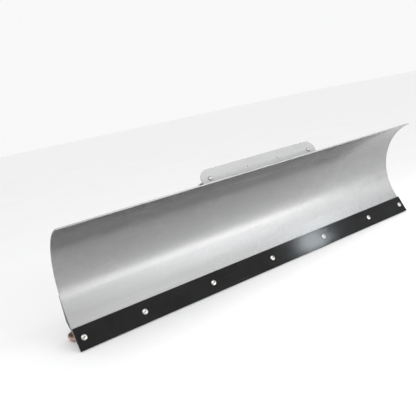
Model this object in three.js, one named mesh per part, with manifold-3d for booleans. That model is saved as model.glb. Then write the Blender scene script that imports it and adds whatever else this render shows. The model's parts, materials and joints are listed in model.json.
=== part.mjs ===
// Snow plow blade for an all-terrain vehicle: a curved moldboard with a bolted wear bar, ribs, two skid
// shoes, a spring plate with two trip springs, the swivel frame it tips on, and the head that joins the
// push tubes. Millimetres. +X runs along the blade, +Y is behind it, +Z is up. Sections are drawn from the
// wear bar's front bottom edge, and the last lines move the origin to the middle of the footprint.
import * as THREE from 'three';
import { mergeVertices } from 'three/addons/utils/BufferGeometryUtils.js';
import Module from 'manifold-3d';

const wasm = await Module();
wasm.setup();

// ---------------------------------------------------------------- driving dimensions
const DEG = Math.PI / 180;
const GAP = 0.3; // left between two pieces that touch
const SIDES = { left: -1, right: 1 };

const BLADE_WIDTH = 1524;
const RAKE = 61.1 * DEG; // wear face above the ground
const WEAR_BAR = { height: 71, thickness: 6.35 };
const SHEET = { thickness: 3, start: 25, flatEnd: 95.9, lip: 1.5 }; // start and flatEnd measured up the face
const LOWER_CURVE = { radius: 211, end: 40 * DEG };
const UPPER_CURVE = { radius: 185, end: 75 * DEG };

const WEAR_BOLT = { up: 35.5, xs: [-738, -533.4, -266.7, 0, 266.7, 533.4, 738] };
const CARRIAGE = { head: 9.9, dome: 4.4, neck: 9.3, shank: 4.7, length: 24 };
const NUT = { flats: 14.3, height: 8.5, flange: 9.6, flangeHeight: 1.6 };

const RAIL = { low: 50, high: 88, thickness: 5, depth: 45, inset: 20 };
const END_RIB = { inset: 0.5, thickness: 5, foot: 62, top: -6.1 * DEG, proud: 8, back: [[84, 72], [58, 53]] };
const OUTER_RIB = { x: 470, thickness: 5, depth: 36, top: 62 * DEG };
const PIVOT_RIB = { xs: [148, 193], thickness: 6, top: 60 * DEG, tongueLow: 9, tongueHigh: 45, tongue: 10 };
const PIVOT_RIB_BACK = [[62, 332], [108, 250], [118, 190]]; // corners behind the rib, (y, z) from the top
const PIVOT_RIB_STOP = { high: 137, low: 115 }; // rests on the cross tube
const PIVOT = { y: 128, z: 112, lobe: 24, pin: 8, hole: 8.4 };

const PLATE = { y: -34.1, z: 365.4, lean: 25.9 * DEG, thickness: 4, low: 5, top: 59, half: 192 };
const PLATE_FOLD = { depth: 14, notch: 6 };
const EAR = { x: 222, up: 25, radius: 34, hole: 5.3 };
const FLAP_HOLE = { x: 67, up: 28, radius: 4 };
const FLAP_SLOT = { from: 41, to: 139, up: 11, width: 3 };
const EYE = { base: 9, baseEnd: 14, ring: 11, wire: 4, centre: 23 };

const SPRING = { radius: 14, wire: 2.5, start: 64, end: 262, hookRadius: 9 };
const SPRING_ANCHOR = { back: 295.6, holeBack: 298, hole: 7, lobe: 13, thickness: 8 };
const POST_BRACE = { y: 222, z: 195, radius: 9 };

const CROSS_TUBE = { y: 165, z: 87, size: 50, wall: 4, length: 480 };
const LUG = { x: 170.5, width: 36, radius: 20 };
const YOKE = { thickness: 8, halfWidth: 45, shoulder: 265, taperEnd: 320, neck: 26, end: 36, weld: 3 };
const KING = { y: 275, shank: 12, hole: 13, headFlats: 36, headHeight: 15, nutHeight: 20 };
const KING_WASHER = { radius: 24, thickness: 3.7 };
const LOCK = { radius: 105, pin: 7, hole: 7.7, sleeve: 14, sleeveTop: 180, step: 12.5 * DEG, steps: 2 };
const LOCK_PIN = { tip: 130, shoulder: 196, top: 218, head: 11, handleZ: 207, handle: 5, handleLength: 84 };
const HEAD = { sector: 130, spread: 36 * DEG, plate: 8, hub: 28, cheekX: 31, cheek: 8, nose: 36 };
const FLANGE = { back: 450, thickness: 10, halfWidth: 85, low: 60, high: 170 };
const FLANGE_HOLE = { radius: 6.5, x: 62, inset: 18 };

const SKID = { x: 717, y: 112, rim: 44, height: 17, post: 10, top: 135, boss: 26 };
const SKID_SLEEVE = { inner: 10.5, outer: 17, low: 46, high: 96, web: 6 };
const LYNCH = { z: 125, radius: 3, hole: 3.4, reach: 21, ring: 17, wire: 2 };

// ---------------------------------------------------------------- finishes
function finish(color, roughness, metalness) {
  return new THREE.MeshStandardMaterial({ color, roughness, metalness });
}
const GALVANISED = finish(0xb9bab8, 0.38, 0.85);
const WHITE_ZINC = finish(0xd9d9d6, 0.45, 0.55);
const BLACK_STEEL = finish(0x1d1d1e, 0.42, 0.5);
const BLACK_COAT = finish(0x26262a, 0.5, 0.1);
const BRIGHT_ZINC = finish(0xc9c8c2, 0.3, 0.95);
const RUSTY_IRON = finish(0x8a5a44, 0.75, 0.6);
const SPRING_STEEL = finish(0xb4b6b6, 0.35, 0.9);

// ---------------------------------------------------------------- booleans and placing
function solid(geometry) {
  const bare = geometry.clone();
  bare.deleteAttribute('normal');
  bare.deleteAttribute('uv');
  const merged = mergeVertices(bare, 1e-4);
  const index = merged.index.array;
  const kept = [];
  for (let i = 0; i < index.length; i += 3) {
    const [a, b, c] = [index[i], index[i + 1], index[i + 2]];
    if (a !== b && b !== c && c !== a) kept.push(a, b, c);
  }
  const vertProperties = Float32Array.from(merged.attributes.position.array);
  return new wasm.Manifold(new wasm.Mesh({ numProp: 3, vertProperties, triVerts: Uint32Array.from(kept) }));
}

function geometryOf(body) {
  const mesh = body.getMesh();
  const geometry = new THREE.BufferGeometry();
  geometry.setAttribute('position', new THREE.BufferAttribute(mesh.vertProperties, 3));
  geometry.setIndex(new THREE.BufferAttribute(mesh.triVerts, 1));
  geometry.computeVertexNormals();
  return geometry;
}

function join(...pieces) {
  return geometryOf(pieces.map(solid).reduce((all, piece) => all.add(piece)));
}

function cut(piece, ...tools) {
  return geometryOf(tools.map(solid).reduce((left, tool) => left.subtract(tool), solid(piece)));
}

const alongX = new THREE.Matrix4().makeBasis(
  new THREE.Vector3(0, 1, 0), new THREE.Vector3(0, 0, 1), new THREE.Vector3(1, 0, 0));
const alongY = new THREE.Matrix4().makeBasis(
  new THREE.Vector3(1, 0, 0), new THREE.Vector3(0, 0, 1), new THREE.Vector3(0, -1, 0));

// The outline as plain points, without the doubled ones where a line meets an arc. It runs
// anticlockwise and its holes run clockwise.
function pointsOnly(outline, curveSegments) {
  const single = (path, clockwise) => {
    const points = path.getPoints(curveSegments);
    const kept = points.filter((point, i) => point.distanceTo(points[(i + 1) % points.length]) > 0.001);
    return THREE.ShapeUtils.isClockWise(kept) === clockwise ? kept : kept.reverse();
  };
  const shape = new THREE.Shape(single(outline, false));
  shape.holes = outline.holes.map((hole) => new THREE.Path(single(hole, true)));
  return shape;
}

// A plan outline (x, y) given a thickness up from z.
function planPlate(outline, z, thickness, curveSegments = 6) {
  const shape = pointsOnly(outline, curveSegments);
  return new THREE.ExtrudeGeometry(shape, { depth: thickness, bevelEnabled: false }).translate(0, 0, z);
}

// A side outline (y, z) given a thickness along X, centred on x.
function sidePlate(outline, x, thickness, curveSegments = 6) {
  return planPlate(outline, x - thickness / 2, thickness, curveSegments).applyMatrix4(alongX);
}

// A front outline (x, z) given a thickness from y backwards.
function frontPlate(outline, y, thickness, curveSegments = 6) {
  return planPlate(outline, 0, thickness, curveSegments).applyMatrix4(alongY).translate(0, y + thickness, 0);
}

function block(x, y, z, sizeX, sizeY, sizeZ) {
  return new THREE.BoxGeometry(sizeX, sizeY, sizeZ).translate(x, y, z);
}

// A round bar from one point to another.
function bar(radius, from, to, segments = 16) {
  const start = new THREE.Vector3(...from);
  const span = new THREE.Vector3(...to).sub(start);
  const geometry = new THREE.CylinderGeometry(radius, radius, span.length(), segments);
  const up = new THREE.Vector3(0, 1, 0);
  const turn = new THREE.Quaternion().setFromUnitVectors(up, span.clone().normalize());
  return geometry.applyQuaternion(turn).translate(...start.addScaledVector(span, 0.5).toArray());
}

// A turned piece: [radius, height] points from its low end to its high end, about +Y.
function turned(points, segments = 16) {
  return new THREE.LatheGeometry(points.map(([r, h]) => new THREE.Vector2(r, h)), segments);
}

function wireAlong(points, radius, steps, closed = false) {
  const path = new THREE.CatmullRomCurve3(points.map((p) => new THREE.Vector3(...p)), closed);
  const section = new THREE.Shape();
  section.absarc(0, 0, radius, 0, 2 * Math.PI, false);
  const options = { steps, bevelEnabled: false, extrudePath: path, curveSegments: 3 };
  return new THREE.ExtrudeGeometry(section, options);
}

function circleHole(x, y, radius) {
  const hole = new THREE.Path();
  hole.absarc(x, y, radius, 0, 2 * Math.PI, true);
  return hole;
}

function polygon(points) {
  return new THREE.Shape(points.map(([a, b]) => new THREE.Vector2(a, b)));
}

function hexagon(flats) {
  const corners = [];
  for (let i = 0; i < 6; i += 1) {
    const angle = (i + 0.5) * 60 * DEG;
    corners.push([(flats / Math.sqrt(3)) * Math.cos(angle), (flats / Math.sqrt(3)) * Math.sin(angle)]);
  }
  return polygon(corners);
}

// ---------------------------------------------------------------- the blade's section
const sheetFront = WEAR_BAR.thickness + GAP;
const sheetBack = sheetFront + SHEET.thickness;
const behindSheet = sheetBack + GAP;
const faceTurn = RAKE - Math.PI / 2;
const sectionHeight = WEAR_BAR.thickness * Math.cos(RAKE); // of the section's origin above the ground

// A point of the section, (y, z), from distances up the wear face and behind it.
const onFace = (up, back) => [
  up * Math.cos(RAKE) + back * Math.sin(RAKE),
  up * Math.sin(RAKE) - back * Math.cos(RAKE),
];
const polar = ([y, z], radius, angle) => [y + radius * Math.cos(angle), z + radius * Math.sin(angle)];
const lowerCentre = onFace(SHEET.flatEnd, sheetFront - LOWER_CURVE.radius);
const upperCentre = polar(lowerCentre, LOWER_CURVE.radius - UPPER_CURVE.radius, LOWER_CURVE.end);
const lowerBack = LOWER_CURVE.radius + SHEET.thickness + GAP;
const upperBack = UPPER_CURVE.radius + SHEET.thickness + GAP;

function sheetOutline() {
  const outline = new THREE.Shape();
  const lipAngle = UPPER_CURVE.end - SHEET.thickness / UPPER_CURVE.radius;
  const lipRadius = UPPER_CURVE.radius + SHEET.thickness + SHEET.lip;
  outline.moveTo(...onFace(SHEET.start, sheetFront));
  outline.lineTo(...onFace(SHEET.flatEnd, sheetFront));
  outline.absarc(...lowerCentre, LOWER_CURVE.radius, faceTurn, LOWER_CURVE.end, false);
  outline.absarc(...upperCentre, UPPER_CURVE.radius, LOWER_CURVE.end, UPPER_CURVE.end, false);
  outline.lineTo(...polar(upperCentre, lipRadius, UPPER_CURVE.end));
  outline.lineTo(...polar(upperCentre, lipRadius, lipAngle));
  outline.absarc(...upperCentre, UPPER_CURVE.radius + SHEET.thickness, lipAngle, LOWER_CURVE.end, true);
  outline.absarc(...lowerCentre, LOWER_CURVE.radius + SHEET.thickness, LOWER_CURVE.end, faceTurn, true);
  outline.lineTo(...onFace(SHEET.start, sheetBack));
  return outline;
}

// Follows the back of the sheet from the rail up to a polar angle of the section.
function followBack(outline, top) {
  outline.moveTo(...onFace(RAIL.high + GAP, behindSheet));
  outline.lineTo(...onFace(SHEET.flatEnd, behindSheet));
  outline.absarc(...lowerCentre, lowerBack, faceTurn, Math.min(top, LOWER_CURVE.end), false);
  if (top > LOWER_CURVE.end) outline.absarc(...upperCentre, upperBack, LOWER_CURVE.end, top, false);
}

// A point behind the spring plate, (y, z), from distances up the plate and behind its front face.
const onPlate = (up, back) => [
  PLATE.y + up * Math.sin(PLATE.lean) + back * Math.cos(PLATE.lean),
  PLATE.z + up * Math.cos(PLATE.lean) - back * Math.sin(PLATE.lean),
];

// ---------------------------------------------------------------- the scene graph
const plow = new THREE.Group();
const face = new THREE.Group(); // x along the blade, y behind the wear face, z up it
face.rotation.x = faceTurn;
const plate = new THREE.Group(); // x along the blade, y behind the spring plate, z up it
plate.position.set(0, PLATE.y, PLATE.z);
plate.rotation.x = -PLATE.lean;
plow.add(face, plate);

function place(group, name, geometry, material, x = 0, y = 0, z = 0) {
  const mesh = new THREE.Mesh(geometry, material);
  mesh.name = name;
  mesh.position.set(x, y, z);
  group.add(mesh);
}

// ---------------------------------------------------------------- moldboard and wear bar
const boltMatrix = new THREE.Matrix4().makeRotationX(faceTurn);

function moldboard() {
  const sheet = sidePlate(sheetOutline(), 0, BLADE_WIDTH, 12);
  const radius = CARRIAGE.shank + 1;
  const deep = sheetBack + 5;
  const holes = WEAR_BOLT.xs.map((x) =>
    bar(radius, [x, 0, WEAR_BOLT.up], [x, deep, WEAR_BOLT.up]).applyMatrix4(boltMatrix));
  return cut(sheet, ...holes);
}
place(plow, 'moldboard', moldboard(), GALVANISED);

function wearBar() {
  const { height, thickness } = WEAR_BAR;
  const neck = CARRIAGE.neck + 2 * GAP;
  const holes = WEAR_BOLT.xs.map((x) => block(x, thickness / 2, WEAR_BOLT.up, neck, 2 * thickness, neck));
  return cut(block(0, thickness / 2, height / 2, BLADE_WIDTH, thickness, height), ...holes);
}
place(face, 'wear_bar', wearBar(), BLACK_STEEL);

function carriageBolt() {
  const { head, dome, neck, shank, length } = CARRIAGE;
  const rim = [];
  for (let step = 0; step <= 3; step += 1) {
    const angle = step * 30 * DEG;
    rim.push([head * Math.sin(angle), -GAP - 0.8 - (dome - 0.8) * Math.cos(angle)]);
  }
  const body = turned([...rim, [head, -GAP], [shank, -GAP], [shank, length], [0, length]]);
  return join(body, block(0, WEAR_BAR.thickness / 2 - GAP, 0, neck, WEAR_BAR.thickness - GAP, neck));
}

function flangeNut() {
  const { flats, height, flange, flangeHeight } = NUT;
  const hex = frontPlate(hexagon(flats), 0, height);
  const washer = bar(flange, [0, 0, 0], [0, flangeHeight, 0]);
  return cut(join(hex, washer), bar(CARRIAGE.shank + GAP, [0, -1, 0], [0, height + 1, 0]));
}

const carriageBoltShape = carriageBolt();
const flangeNutShape = flangeNut();
WEAR_BOLT.xs.forEach((x, i) => {
  place(face, `wear_bar_bolt_${i + 1}`, carriageBoltShape, BRIGHT_ZINC, x, 0, WEAR_BOLT.up);
  place(face, `wear_bar_nut_${i + 1}`, flangeNutShape, BRIGHT_ZINC, x, behindSheet, WEAR_BOLT.up);
});

// ---------------------------------------------------------------- rail and ribs behind the sheet
function bottomRail() {
  const inner = RAIL.high - RAIL.thickness;
  const outline = polygon([
    [behindSheet, RAIL.low],
    [behindSheet + RAIL.thickness, RAIL.low],
    [behindSheet + RAIL.thickness, inner],
    [RAIL.depth, inner],
    [RAIL.depth, RAIL.high],
    [behindSheet, RAIL.high],
  ]);
  return sidePlate(outline, 0, BLADE_WIDTH - 2 * RAIL.inset);
}
place(face, 'bottom_rail', bottomRail(), GALVANISED);

function endRib() {
  const outline = new THREE.Shape();
  outline.moveTo(...onFace(END_RIB.foot, behindSheet));
  outline.lineTo(...onFace(SHEET.flatEnd, behindSheet));
  outline.absarc(...lowerCentre, lowerBack, faceTurn, END_RIB.top, false);
  outline.lineTo(...polar(lowerCentre, lowerBack + END_RIB.proud, END_RIB.top));
  END_RIB.back.forEach((corner) => outline.lineTo(...corner));
  return sidePlate(outline, 0, END_RIB.thickness);
}

function outerRib() {
  const outline = new THREE.Shape();
  const { depth, top } = OUTER_RIB;
  followBack(outline, top);
  outline.lineTo(...polar(upperCentre, upperBack + depth / 4, top));
  outline.lineTo(...polar(upperCentre, upperBack + depth, LOWER_CURVE.end));
  outline.absarc(...lowerCentre, lowerBack + depth, LOWER_CURVE.end - 3 * DEG, faceTurn + 9 * DEG, true);
  outline.lineTo(...onFace(RAIL.high + GAP, RAIL.depth));
  return sidePlate(outline, 0, OUTER_RIB.thickness);
}

function pivotRib() {
  const outline = new THREE.Shape();
  const behindPlate = PLATE.thickness + GAP;
  const tubeFront = CROSS_TUBE.y - GAP;
  followBack(outline, PIVOT_RIB.top);
  outline.lineTo(...onPlate(PIVOT_RIB.tongueLow, behindPlate));
  outline.lineTo(...onPlate(PIVOT_RIB.tongueHigh, behindPlate));
  outline.lineTo(...onPlate(PIVOT_RIB.tongueHigh, behindPlate + PIVOT_RIB.tongue));
  PIVOT_RIB_BACK.forEach((corner) => outline.lineTo(...corner));
  outline.lineTo(tubeFront, PIVOT_RIB_STOP.high);
  outline.lineTo(tubeFront, PIVOT_RIB_STOP.low);
  outline.absarc(PIVOT.y, PIVOT.z, PIVOT.lobe, 5 * DEG, -130 * DEG, true);
  outline.lineTo(...onFace(RAIL.high + GAP, RAIL.depth));
  outline.holes.push(circleHole(PIVOT.y, PIVOT.z, PIVOT.hole));
  return sidePlate(outline, 0, PIVOT_RIB.thickness);
}

const endRibShape = endRib();
const outerRibShape = outerRib();
const pivotRibShape = pivotRib();
const endRibX = BLADE_WIDTH / 2 - END_RIB.inset - END_RIB.thickness / 2;
for (const [side, sign] of Object.entries(SIDES)) {
  place(plow, `end_rib_${side}`, endRibShape, BLACK_COAT, sign * endRibX);
  place(plow, `outer_rib_${side}`, outerRibShape, GALVANISED, sign * OUTER_RIB.x);
  place(plow, `pivot_rib_inner_${side}`, pivotRibShape, GALVANISED, sign * PIVOT_RIB.xs[0]);
  place(plow, `pivot_rib_outer_${side}`, pivotRibShape, GALVANISED, sign * PIVOT_RIB.xs[1]);
}

// ---------------------------------------------------------------- spring plate and its spring eyes
function springPlate() {
  const { low, top, half, thickness } = PLATE;
  const { depth, notch } = PLATE_FOLD;
  const earFoot = Math.asin((EAR.up - low) / EAR.radius);
  const outline = new THREE.Shape();
  outline.absarc(EAR.x, EAR.up, EAR.radius, -earFoot, 90 * DEG, false);
  outline.lineTo(half + notch, top);
  outline.lineTo(half, top - notch);
  outline.lineTo(half - notch, top);
  outline.lineTo(-half + notch, top);
  outline.lineTo(-half, top - notch);
  outline.lineTo(-half - notch, top);
  outline.absarc(-EAR.x, EAR.up, EAR.radius, 90 * DEG, 180 * DEG + earFoot, false);
  for (const sign of Object.values(SIDES)) {
    const middle = (sign * (FLAP_SLOT.from + FLAP_SLOT.to)) / 2;
    const reach = (FLAP_SLOT.to - FLAP_SLOT.from) / 2;
    const slot = new THREE.Path();
    const end = FLAP_SLOT.width / 2;
    slot.absarc(middle + reach - end, FLAP_SLOT.up, end, 90 * DEG, -90 * DEG, true);
    slot.absarc(middle - reach + end, FLAP_SLOT.up, end, -90 * DEG, -270 * DEG, true);
    outline.holes.push(slot);
    outline.holes.push(circleHole(sign * FLAP_HOLE.x, FLAP_HOLE.up, FLAP_HOLE.radius));
    outline.holes.push(circleHole(sign * EAR.x, EAR.up, EAR.hole));
  }
  const width = 2 * (half - notch);
  const folded = block(0, depth / 2, top - thickness / 2, width, depth, thickness);
  return join(frontPlate(outline, 0, thickness), folded);
}
place(plate, 'spring_plate', springPlate(), WHITE_ZINC);

// The anchor bolt's low round head is on the front of the ear.
function anchorBolt() {
  const shank = EAR.hole - GAP;
  const end = EYE.baseEnd - 1;
  return turned([[0, -4.3], [4.5, -4], [7, -2.6], [7.6, -GAP], [shank, -GAP], [shank, end], [0, end]]);
}

function eyeNut() {
  const start = PLATE.thickness + GAP;
  const ring = new THREE.TorusGeometry(EYE.ring, EYE.wire, 8, 18).rotateY(Math.PI / 2);
  const base = bar(EYE.base, [0, start, 0], [0, EYE.baseEnd, 0]);
  const body = join(base, ring.translate(0, EYE.centre, 0));
  return cut(body, bar(EAR.hole, [0, 0, 0], [0, EYE.baseEnd, 0]));
}

// ---------------------------------------------------------------- trip springs
// A round hook in the plane of x and y: it goes round (0, centre) and leaves towards the coil.
function hookPoints(centre, coilSide, coilEnd) {
  const points = [];
  for (let angle = 130; angle >= -150; angle -= 20) {
    const x = SPRING.hookRadius * Math.sin(angle * DEG);
    const y = centre - coilSide * SPRING.hookRadius * Math.cos(angle * DEG);
    points.push([x, y, 0]);
  }
  const shoulder = centre + coilSide * (SPRING.hookRadius + 5);
  points.push([0, shoulder, 0]);
  points.push([0, (shoulder + coilEnd) / 2, 0]);
  points.push([0, coilEnd, 0]);
  return points;
}

// The eye's far side bears on the hook, which the coil pulls backwards.
function upperHook() {
  const bearing = EYE.centre + EYE.ring - EYE.wire - SPRING.wire - GAP;
  return wireAlong(hookPoints(bearing + SPRING.hookRadius, 1, SPRING.start - GAP), SPRING.wire, 26);
}

// The coil is a plain round body here, as big as its turns, with the hook that sits in the post's hole.
function springBody() {
  const { radius, start, end } = SPRING;
  const chamfer = 4;
  const coil = turned([
    [0, start], [radius - chamfer, start], [radius, start + chamfer],
    [radius, end - chamfer], [radius - chamfer, end], [0, end],
  ]);
  const hook = hookPoints(SPRING_ANCHOR.back - SPRING.hookRadius, -1, end - chamfer);
  return join(coil, wireAlong(hook, SPRING.wire, 26));
}

const anchorBoltShape = anchorBolt();
const eyeNutShape = eyeNut();
const upperHookShape = upperHook();
const springBodyShape = springBody();
for (const [side, sign] of Object.entries(SIDES)) {
  const x = sign * EAR.x;
  place(plate, `spring_anchor_bolt_${side}`, anchorBoltShape, BRIGHT_ZINC, x, 0, EAR.up);
  place(plate, `spring_eye_nut_${side}`, eyeNutShape, BRIGHT_ZINC, x, 0, EAR.up);
  place(plate, `trip_spring_hook_${side}`, upperHookShape, SPRING_STEEL, x, 0, EAR.up);
  place(plate, `trip_spring_${side}`, springBodyShape, SPRING_STEEL, x, 0, EAR.up);
}

// ---------------------------------------------------------------- swivel frame
const tubeTop = CROSS_TUBE.z + CROSS_TUBE.size;
const tubeBack = CROSS_TUBE.y + CROSS_TUBE.size;
const lockY = KING.y + LOCK.radius;

function lug(x) {
  const outline = new THREE.Shape();
  outline.moveTo(CROSS_TUBE.y + 2, tubeTop - 6);
  outline.absarc(PIVOT.y, PIVOT.z, LUG.radius, 90 * DEG, 270 * DEG, false);
  outline.lineTo(CROSS_TUBE.y + 2, CROSS_TUBE.z + 2);
  return sidePlate(outline, x, LUG.width);
}

function topYoke() {
  const { halfWidth, shoulder, taperEnd, neck, thickness } = YOKE;
  const root = tubeBack - YOKE.weld;
  const outline = polygon([[-halfWidth, root], [halfWidth, root], [halfWidth, shoulder]]);
  outline.lineTo(neck, taperEnd);
  outline.absarc(0, lockY, neck, 0, 180 * DEG, false);
  outline.lineTo(-neck, taperEnd);
  outline.lineTo(-halfWidth, shoulder);
  return planPlate(outline, tubeTop - thickness, thickness);
}

function bottomYoke() {
  const { halfWidth, end, thickness } = YOKE;
  const root = tubeBack - YOKE.weld;
  const outline = polygon([[-halfWidth, root], [halfWidth, root]]);
  outline.absarc(0, KING.y, end, 0, 180 * DEG, false);
  return planPlate(outline, CROSS_TUBE.z, thickness);
}

function swivelFrame() {
  const { y, z, size, wall, length } = CROSS_TUBE;
  const middle = [y + size / 2, z + size / 2];
  const tube = block(0, ...middle, length, size, size);
  const sleeve = bar(LOCK.sleeve, [0, lockY, tubeTop - 2], [0, lockY, LOCK.sleeveTop]);
  const body = join(tube, lug(-LUG.x), lug(LUG.x), topYoke(), bottomYoke(), sleeve);
  return cut(
    body,
    block(0, ...middle, length + 2, size - 2 * wall, size - 2 * wall),
    bar(PIVOT.hole, [-LUG.x - LUG.width, PIVOT.y, PIVOT.z], [LUG.x + LUG.width, PIVOT.y, PIVOT.z]),
    bar(KING.hole, [0, KING.y, z - 1], [0, KING.y, tubeTop + 1], 24),
    bar(LOCK.hole, [0, lockY, z], [0, lockY, LOCK.sleeveTop + 1]),
  );
}
place(plow, 'swivel_frame', swivelFrame(), BLACK_COAT);

function springPost() {
  const [holeY, holeZ] = onPlate(EAR.up, SPRING_ANCHOR.holeBack);
  const { lobe, hole, thickness } = SPRING_ANCHOR;
  const outline = new THREE.Shape();
  outline.moveTo(CROSS_TUBE.y + 4, tubeTop + GAP);
  outline.lineTo(tubeBack - 2, tubeTop + GAP);
  outline.absarc(holeY, holeZ, lobe, -20 * DEG, 155 * DEG, false);
  outline.holes.push(circleHole(holeY, holeZ, hole));
  outline.holes.push(circleHole(POST_BRACE.y, POST_BRACE.z, POST_BRACE.radius + 2 * GAP));
  return sidePlate(outline, 0, thickness);
}

const springPostShape = springPost();
for (const [side, sign] of Object.entries(SIDES)) {
  place(plow, `spring_post_${side}`, springPostShape, BLACK_COAT, sign * EAR.x);
}
const braceEnd = EAR.x + SPRING_ANCHOR.thickness;
const postBrace = bar(
  POST_BRACE.radius, [-braceEnd, POST_BRACE.y, POST_BRACE.z], [braceEnd, POST_BRACE.y, POST_BRACE.z]);
place(plow, 'spring_post_brace', postBrace, BLACK_COAT);

// ---------------------------------------------------------------- pivot pins and their hairpins
const hairpinX = PIVOT_RIB.xs[1] + PIVOT_RIB.thickness / 2 + 7;

function pivotPin(sign) {
  const inner = PIVOT_RIB.xs[0] - PIVOT_RIB.thickness / 2 - GAP;
  const at = (x) => [sign * x, PIVOT.y, PIVOT.z];
  const pin = join(bar(PIVOT.pin, at(inner - 2), at(hairpinX + 6)), bar(12, at(inner - 5), at(inner)));
  const x = sign * hairpinX;
  return cut(pin, bar(1.9, [x, PIVOT.y, PIVOT.z - 20], [x, PIVOT.y, PIVOT.z + 20], 12));
}

// One straight leg goes through the pin, and the sprung leg lies round its outside.
const hairpin = wireAlong([
  [0, 0, -16], [0, 0, -8], [0, 0, 4], [0, 0, 14], [0, 4, 22], [0, 10, 24], [0, 15, 18],
  [0, 12, 11], [0, 11.5, 4], [0, 12, -4], [0, 9.5, -10], [0, 13, -17],
], 1.4, 24);
for (const [side, sign] of Object.entries(SIDES)) {
  place(plow, `pivot_pin_${side}`, pivotPin(sign), BRIGHT_ZINC);
  place(plow, `pivot_hairpin_${side}`, hairpin, SPRING_STEEL, sign * hairpinX, PIVOT.y, PIVOT.z);
}

// ---------------------------------------------------------------- skid shoes
function skidBracket() {
  const { inner, outer, low, high, web } = SKID_SLEEVE;
  const inSleeve = SKID.y - (inner + outer) / 2;
  const outline = new THREE.Shape();
  followBack(outline, -18 * DEG);
  outline.lineTo(inSleeve, high);
  outline.lineTo(inSleeve, low + 11);
  outline.lineTo(...onFace(RAIL.high + GAP, RAIL.depth + GAP));
  const sleeve = bar(outer, [0, SKID.y, low], [0, SKID.y, high]);
  return cut(join(sidePlate(outline, 0, web), sleeve), bar(inner, [0, SKID.y, 0], [0, SKID.y, high + 1]));
}

// A dished foot with a post: the shoe's heights are from its own bottom.
function skidShoe() {
  const { rim, height, post, boss } = SKID;
  const top = SKID.top + sectionHeight;
  const body = turned([
    [0, 0], [26, 0], [33, 1.2], [38.5, 4.2], [42.3, 9], [rim, height - 2.5], [rim - 1.2, height],
    [rim - 4, height - 1.5], [36, 8.5], [29, 6.4], [17, 6.4], [14.5, boss - 3], [13, boss],
    [post, boss], [post, top - 2], [post - 2, top], [0, top],
  ], 24).rotateX(Math.PI / 2);
  const z = LYNCH.z + sectionHeight;
  return cut(body, bar(LYNCH.hole, [-post - 5, 0, z], [post + 5, 0, z], 12));
}

function skidSpacer() {
  const { inner, outer, low } = SKID_SLEEVE;
  const bottom = SKID.boss - sectionHeight + GAP;
  return cut(bar(outer, [0, 0, bottom], [0, 0, low - GAP]), bar(inner, [0, 0, 0], [0, 0, low]));
}

// The pin has a round head outboard, and a ring that snaps down over its point.
function lynchPin() {
  const { radius, reach, ring, wire } = LYNCH;
  const points = [];
  for (let angle = -90; angle <= 90; angle += 20) {
    points.push([-ring * Math.sin(angle * DEG), -ring * Math.cos(angle * DEG), 0]);
  }
  const loop = wireAlong(points, wire, 12);
  const head = bar(radius + 3, [ring - 3, 0, 0], [reach + 2, 0, 0], 16);
  return join(bar(radius, [-reach, 0, 0], [reach, 0, 0], 16), head, loop);
}

const skidBracketShape = skidBracket();
const skidShoeShape = skidShoe();
const skidSpacerShape = skidSpacer();
const lynchPinShapes = { left: lynchPin().rotateZ(Math.PI), right: lynchPin() };
for (const [side, sign] of Object.entries(SIDES)) {
  const x = sign * SKID.x;
  place(plow, `skid_bracket_${side}`, skidBracketShape, BLACK_COAT, x);
  place(plow, `skid_shoe_${side}`, skidShoeShape, RUSTY_IRON, x, SKID.y, -sectionHeight);
  place(plow, `skid_spacer_${side}`, skidSpacerShape, BRIGHT_ZINC, x, SKID.y);
  place(plow, `skid_lynch_pin_${side}`, lynchPinShapes[side], BRIGHT_ZINC, x, SKID.y, LYNCH.z);
}

// ---------------------------------------------------------------- head on the push tubes
const hubLow = CROSS_TUBE.z + YOKE.thickness + GAP;
const sectorTop = tubeTop - YOKE.thickness - GAP;
const sectorLow = sectorTop - HEAD.plate;

function sectorPlate() {
  const { sector, spread, nose } = HEAD;
  const outline = new THREE.Shape();
  outline.absarc(0, KING.y, nose, 180 * DEG, 360 * DEG, false);
  outline.absarc(0, KING.y, sector, 90 * DEG - spread, 90 * DEG + spread, false);
  return planPlate(outline, sectorLow, HEAD.plate);
}

function flangePlate() {
  const { back, thickness, halfWidth, low, high } = FLANGE;
  const { radius, x, inset } = FLANGE_HOLE;
  const outline = polygon([[-halfWidth, low], [halfWidth, low], [halfWidth, high], [-halfWidth, high]]);
  for (const sign of Object.values(SIDES)) {
    outline.holes.push(circleHole(sign * x, low + inset, radius));
    outline.holes.push(circleHole(sign * x, high - inset, radius));
  }
  return frontPlate(outline, back - thickness, thickness);
}

function cheek(sign) {
  const front = FLANGE.back - FLANGE.thickness + 2;
  const outline = polygon([
    [KING.y, hubLow], [front, hubLow], [front, FLANGE.high - 12],
    [KING.y + HEAD.sector + 6, sectorLow + 4], [KING.y, sectorLow + 4],
  ]);
  return sidePlate(outline, sign * HEAD.cheekX, HEAD.cheek);
}

function pushHead() {
  const hub = bar(HEAD.hub, [0, KING.y, hubLow], [0, KING.y, sectorTop - 2], 24);
  const holes = [];
  for (let step = -LOCK.steps; step <= LOCK.steps; step += 1) {
    const angle = 90 * DEG + step * LOCK.step;
    const [x, y] = polar([0, KING.y], LOCK.radius, angle);
    holes.push(bar(LOCK.hole, [x, y, hubLow], [x, y, sectorTop + 1]));
  }
  return cut(
    join(sectorPlate(), hub, cheek(-1), cheek(1), flangePlate()),
    bar(KING.hole, [0, KING.y, hubLow - 1], [0, KING.y, sectorTop + 1], 24),
    ...holes,
  );
}
place(plow, 'push_head', pushHead(), BLACK_COAT);

// ---------------------------------------------------------------- king bolt and lock pin
const washerLow = tubeTop + GAP;
const boltSeat = washerLow + KING_WASHER.thickness + GAP;
const nutTop = CROSS_TUBE.z - GAP;

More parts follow.
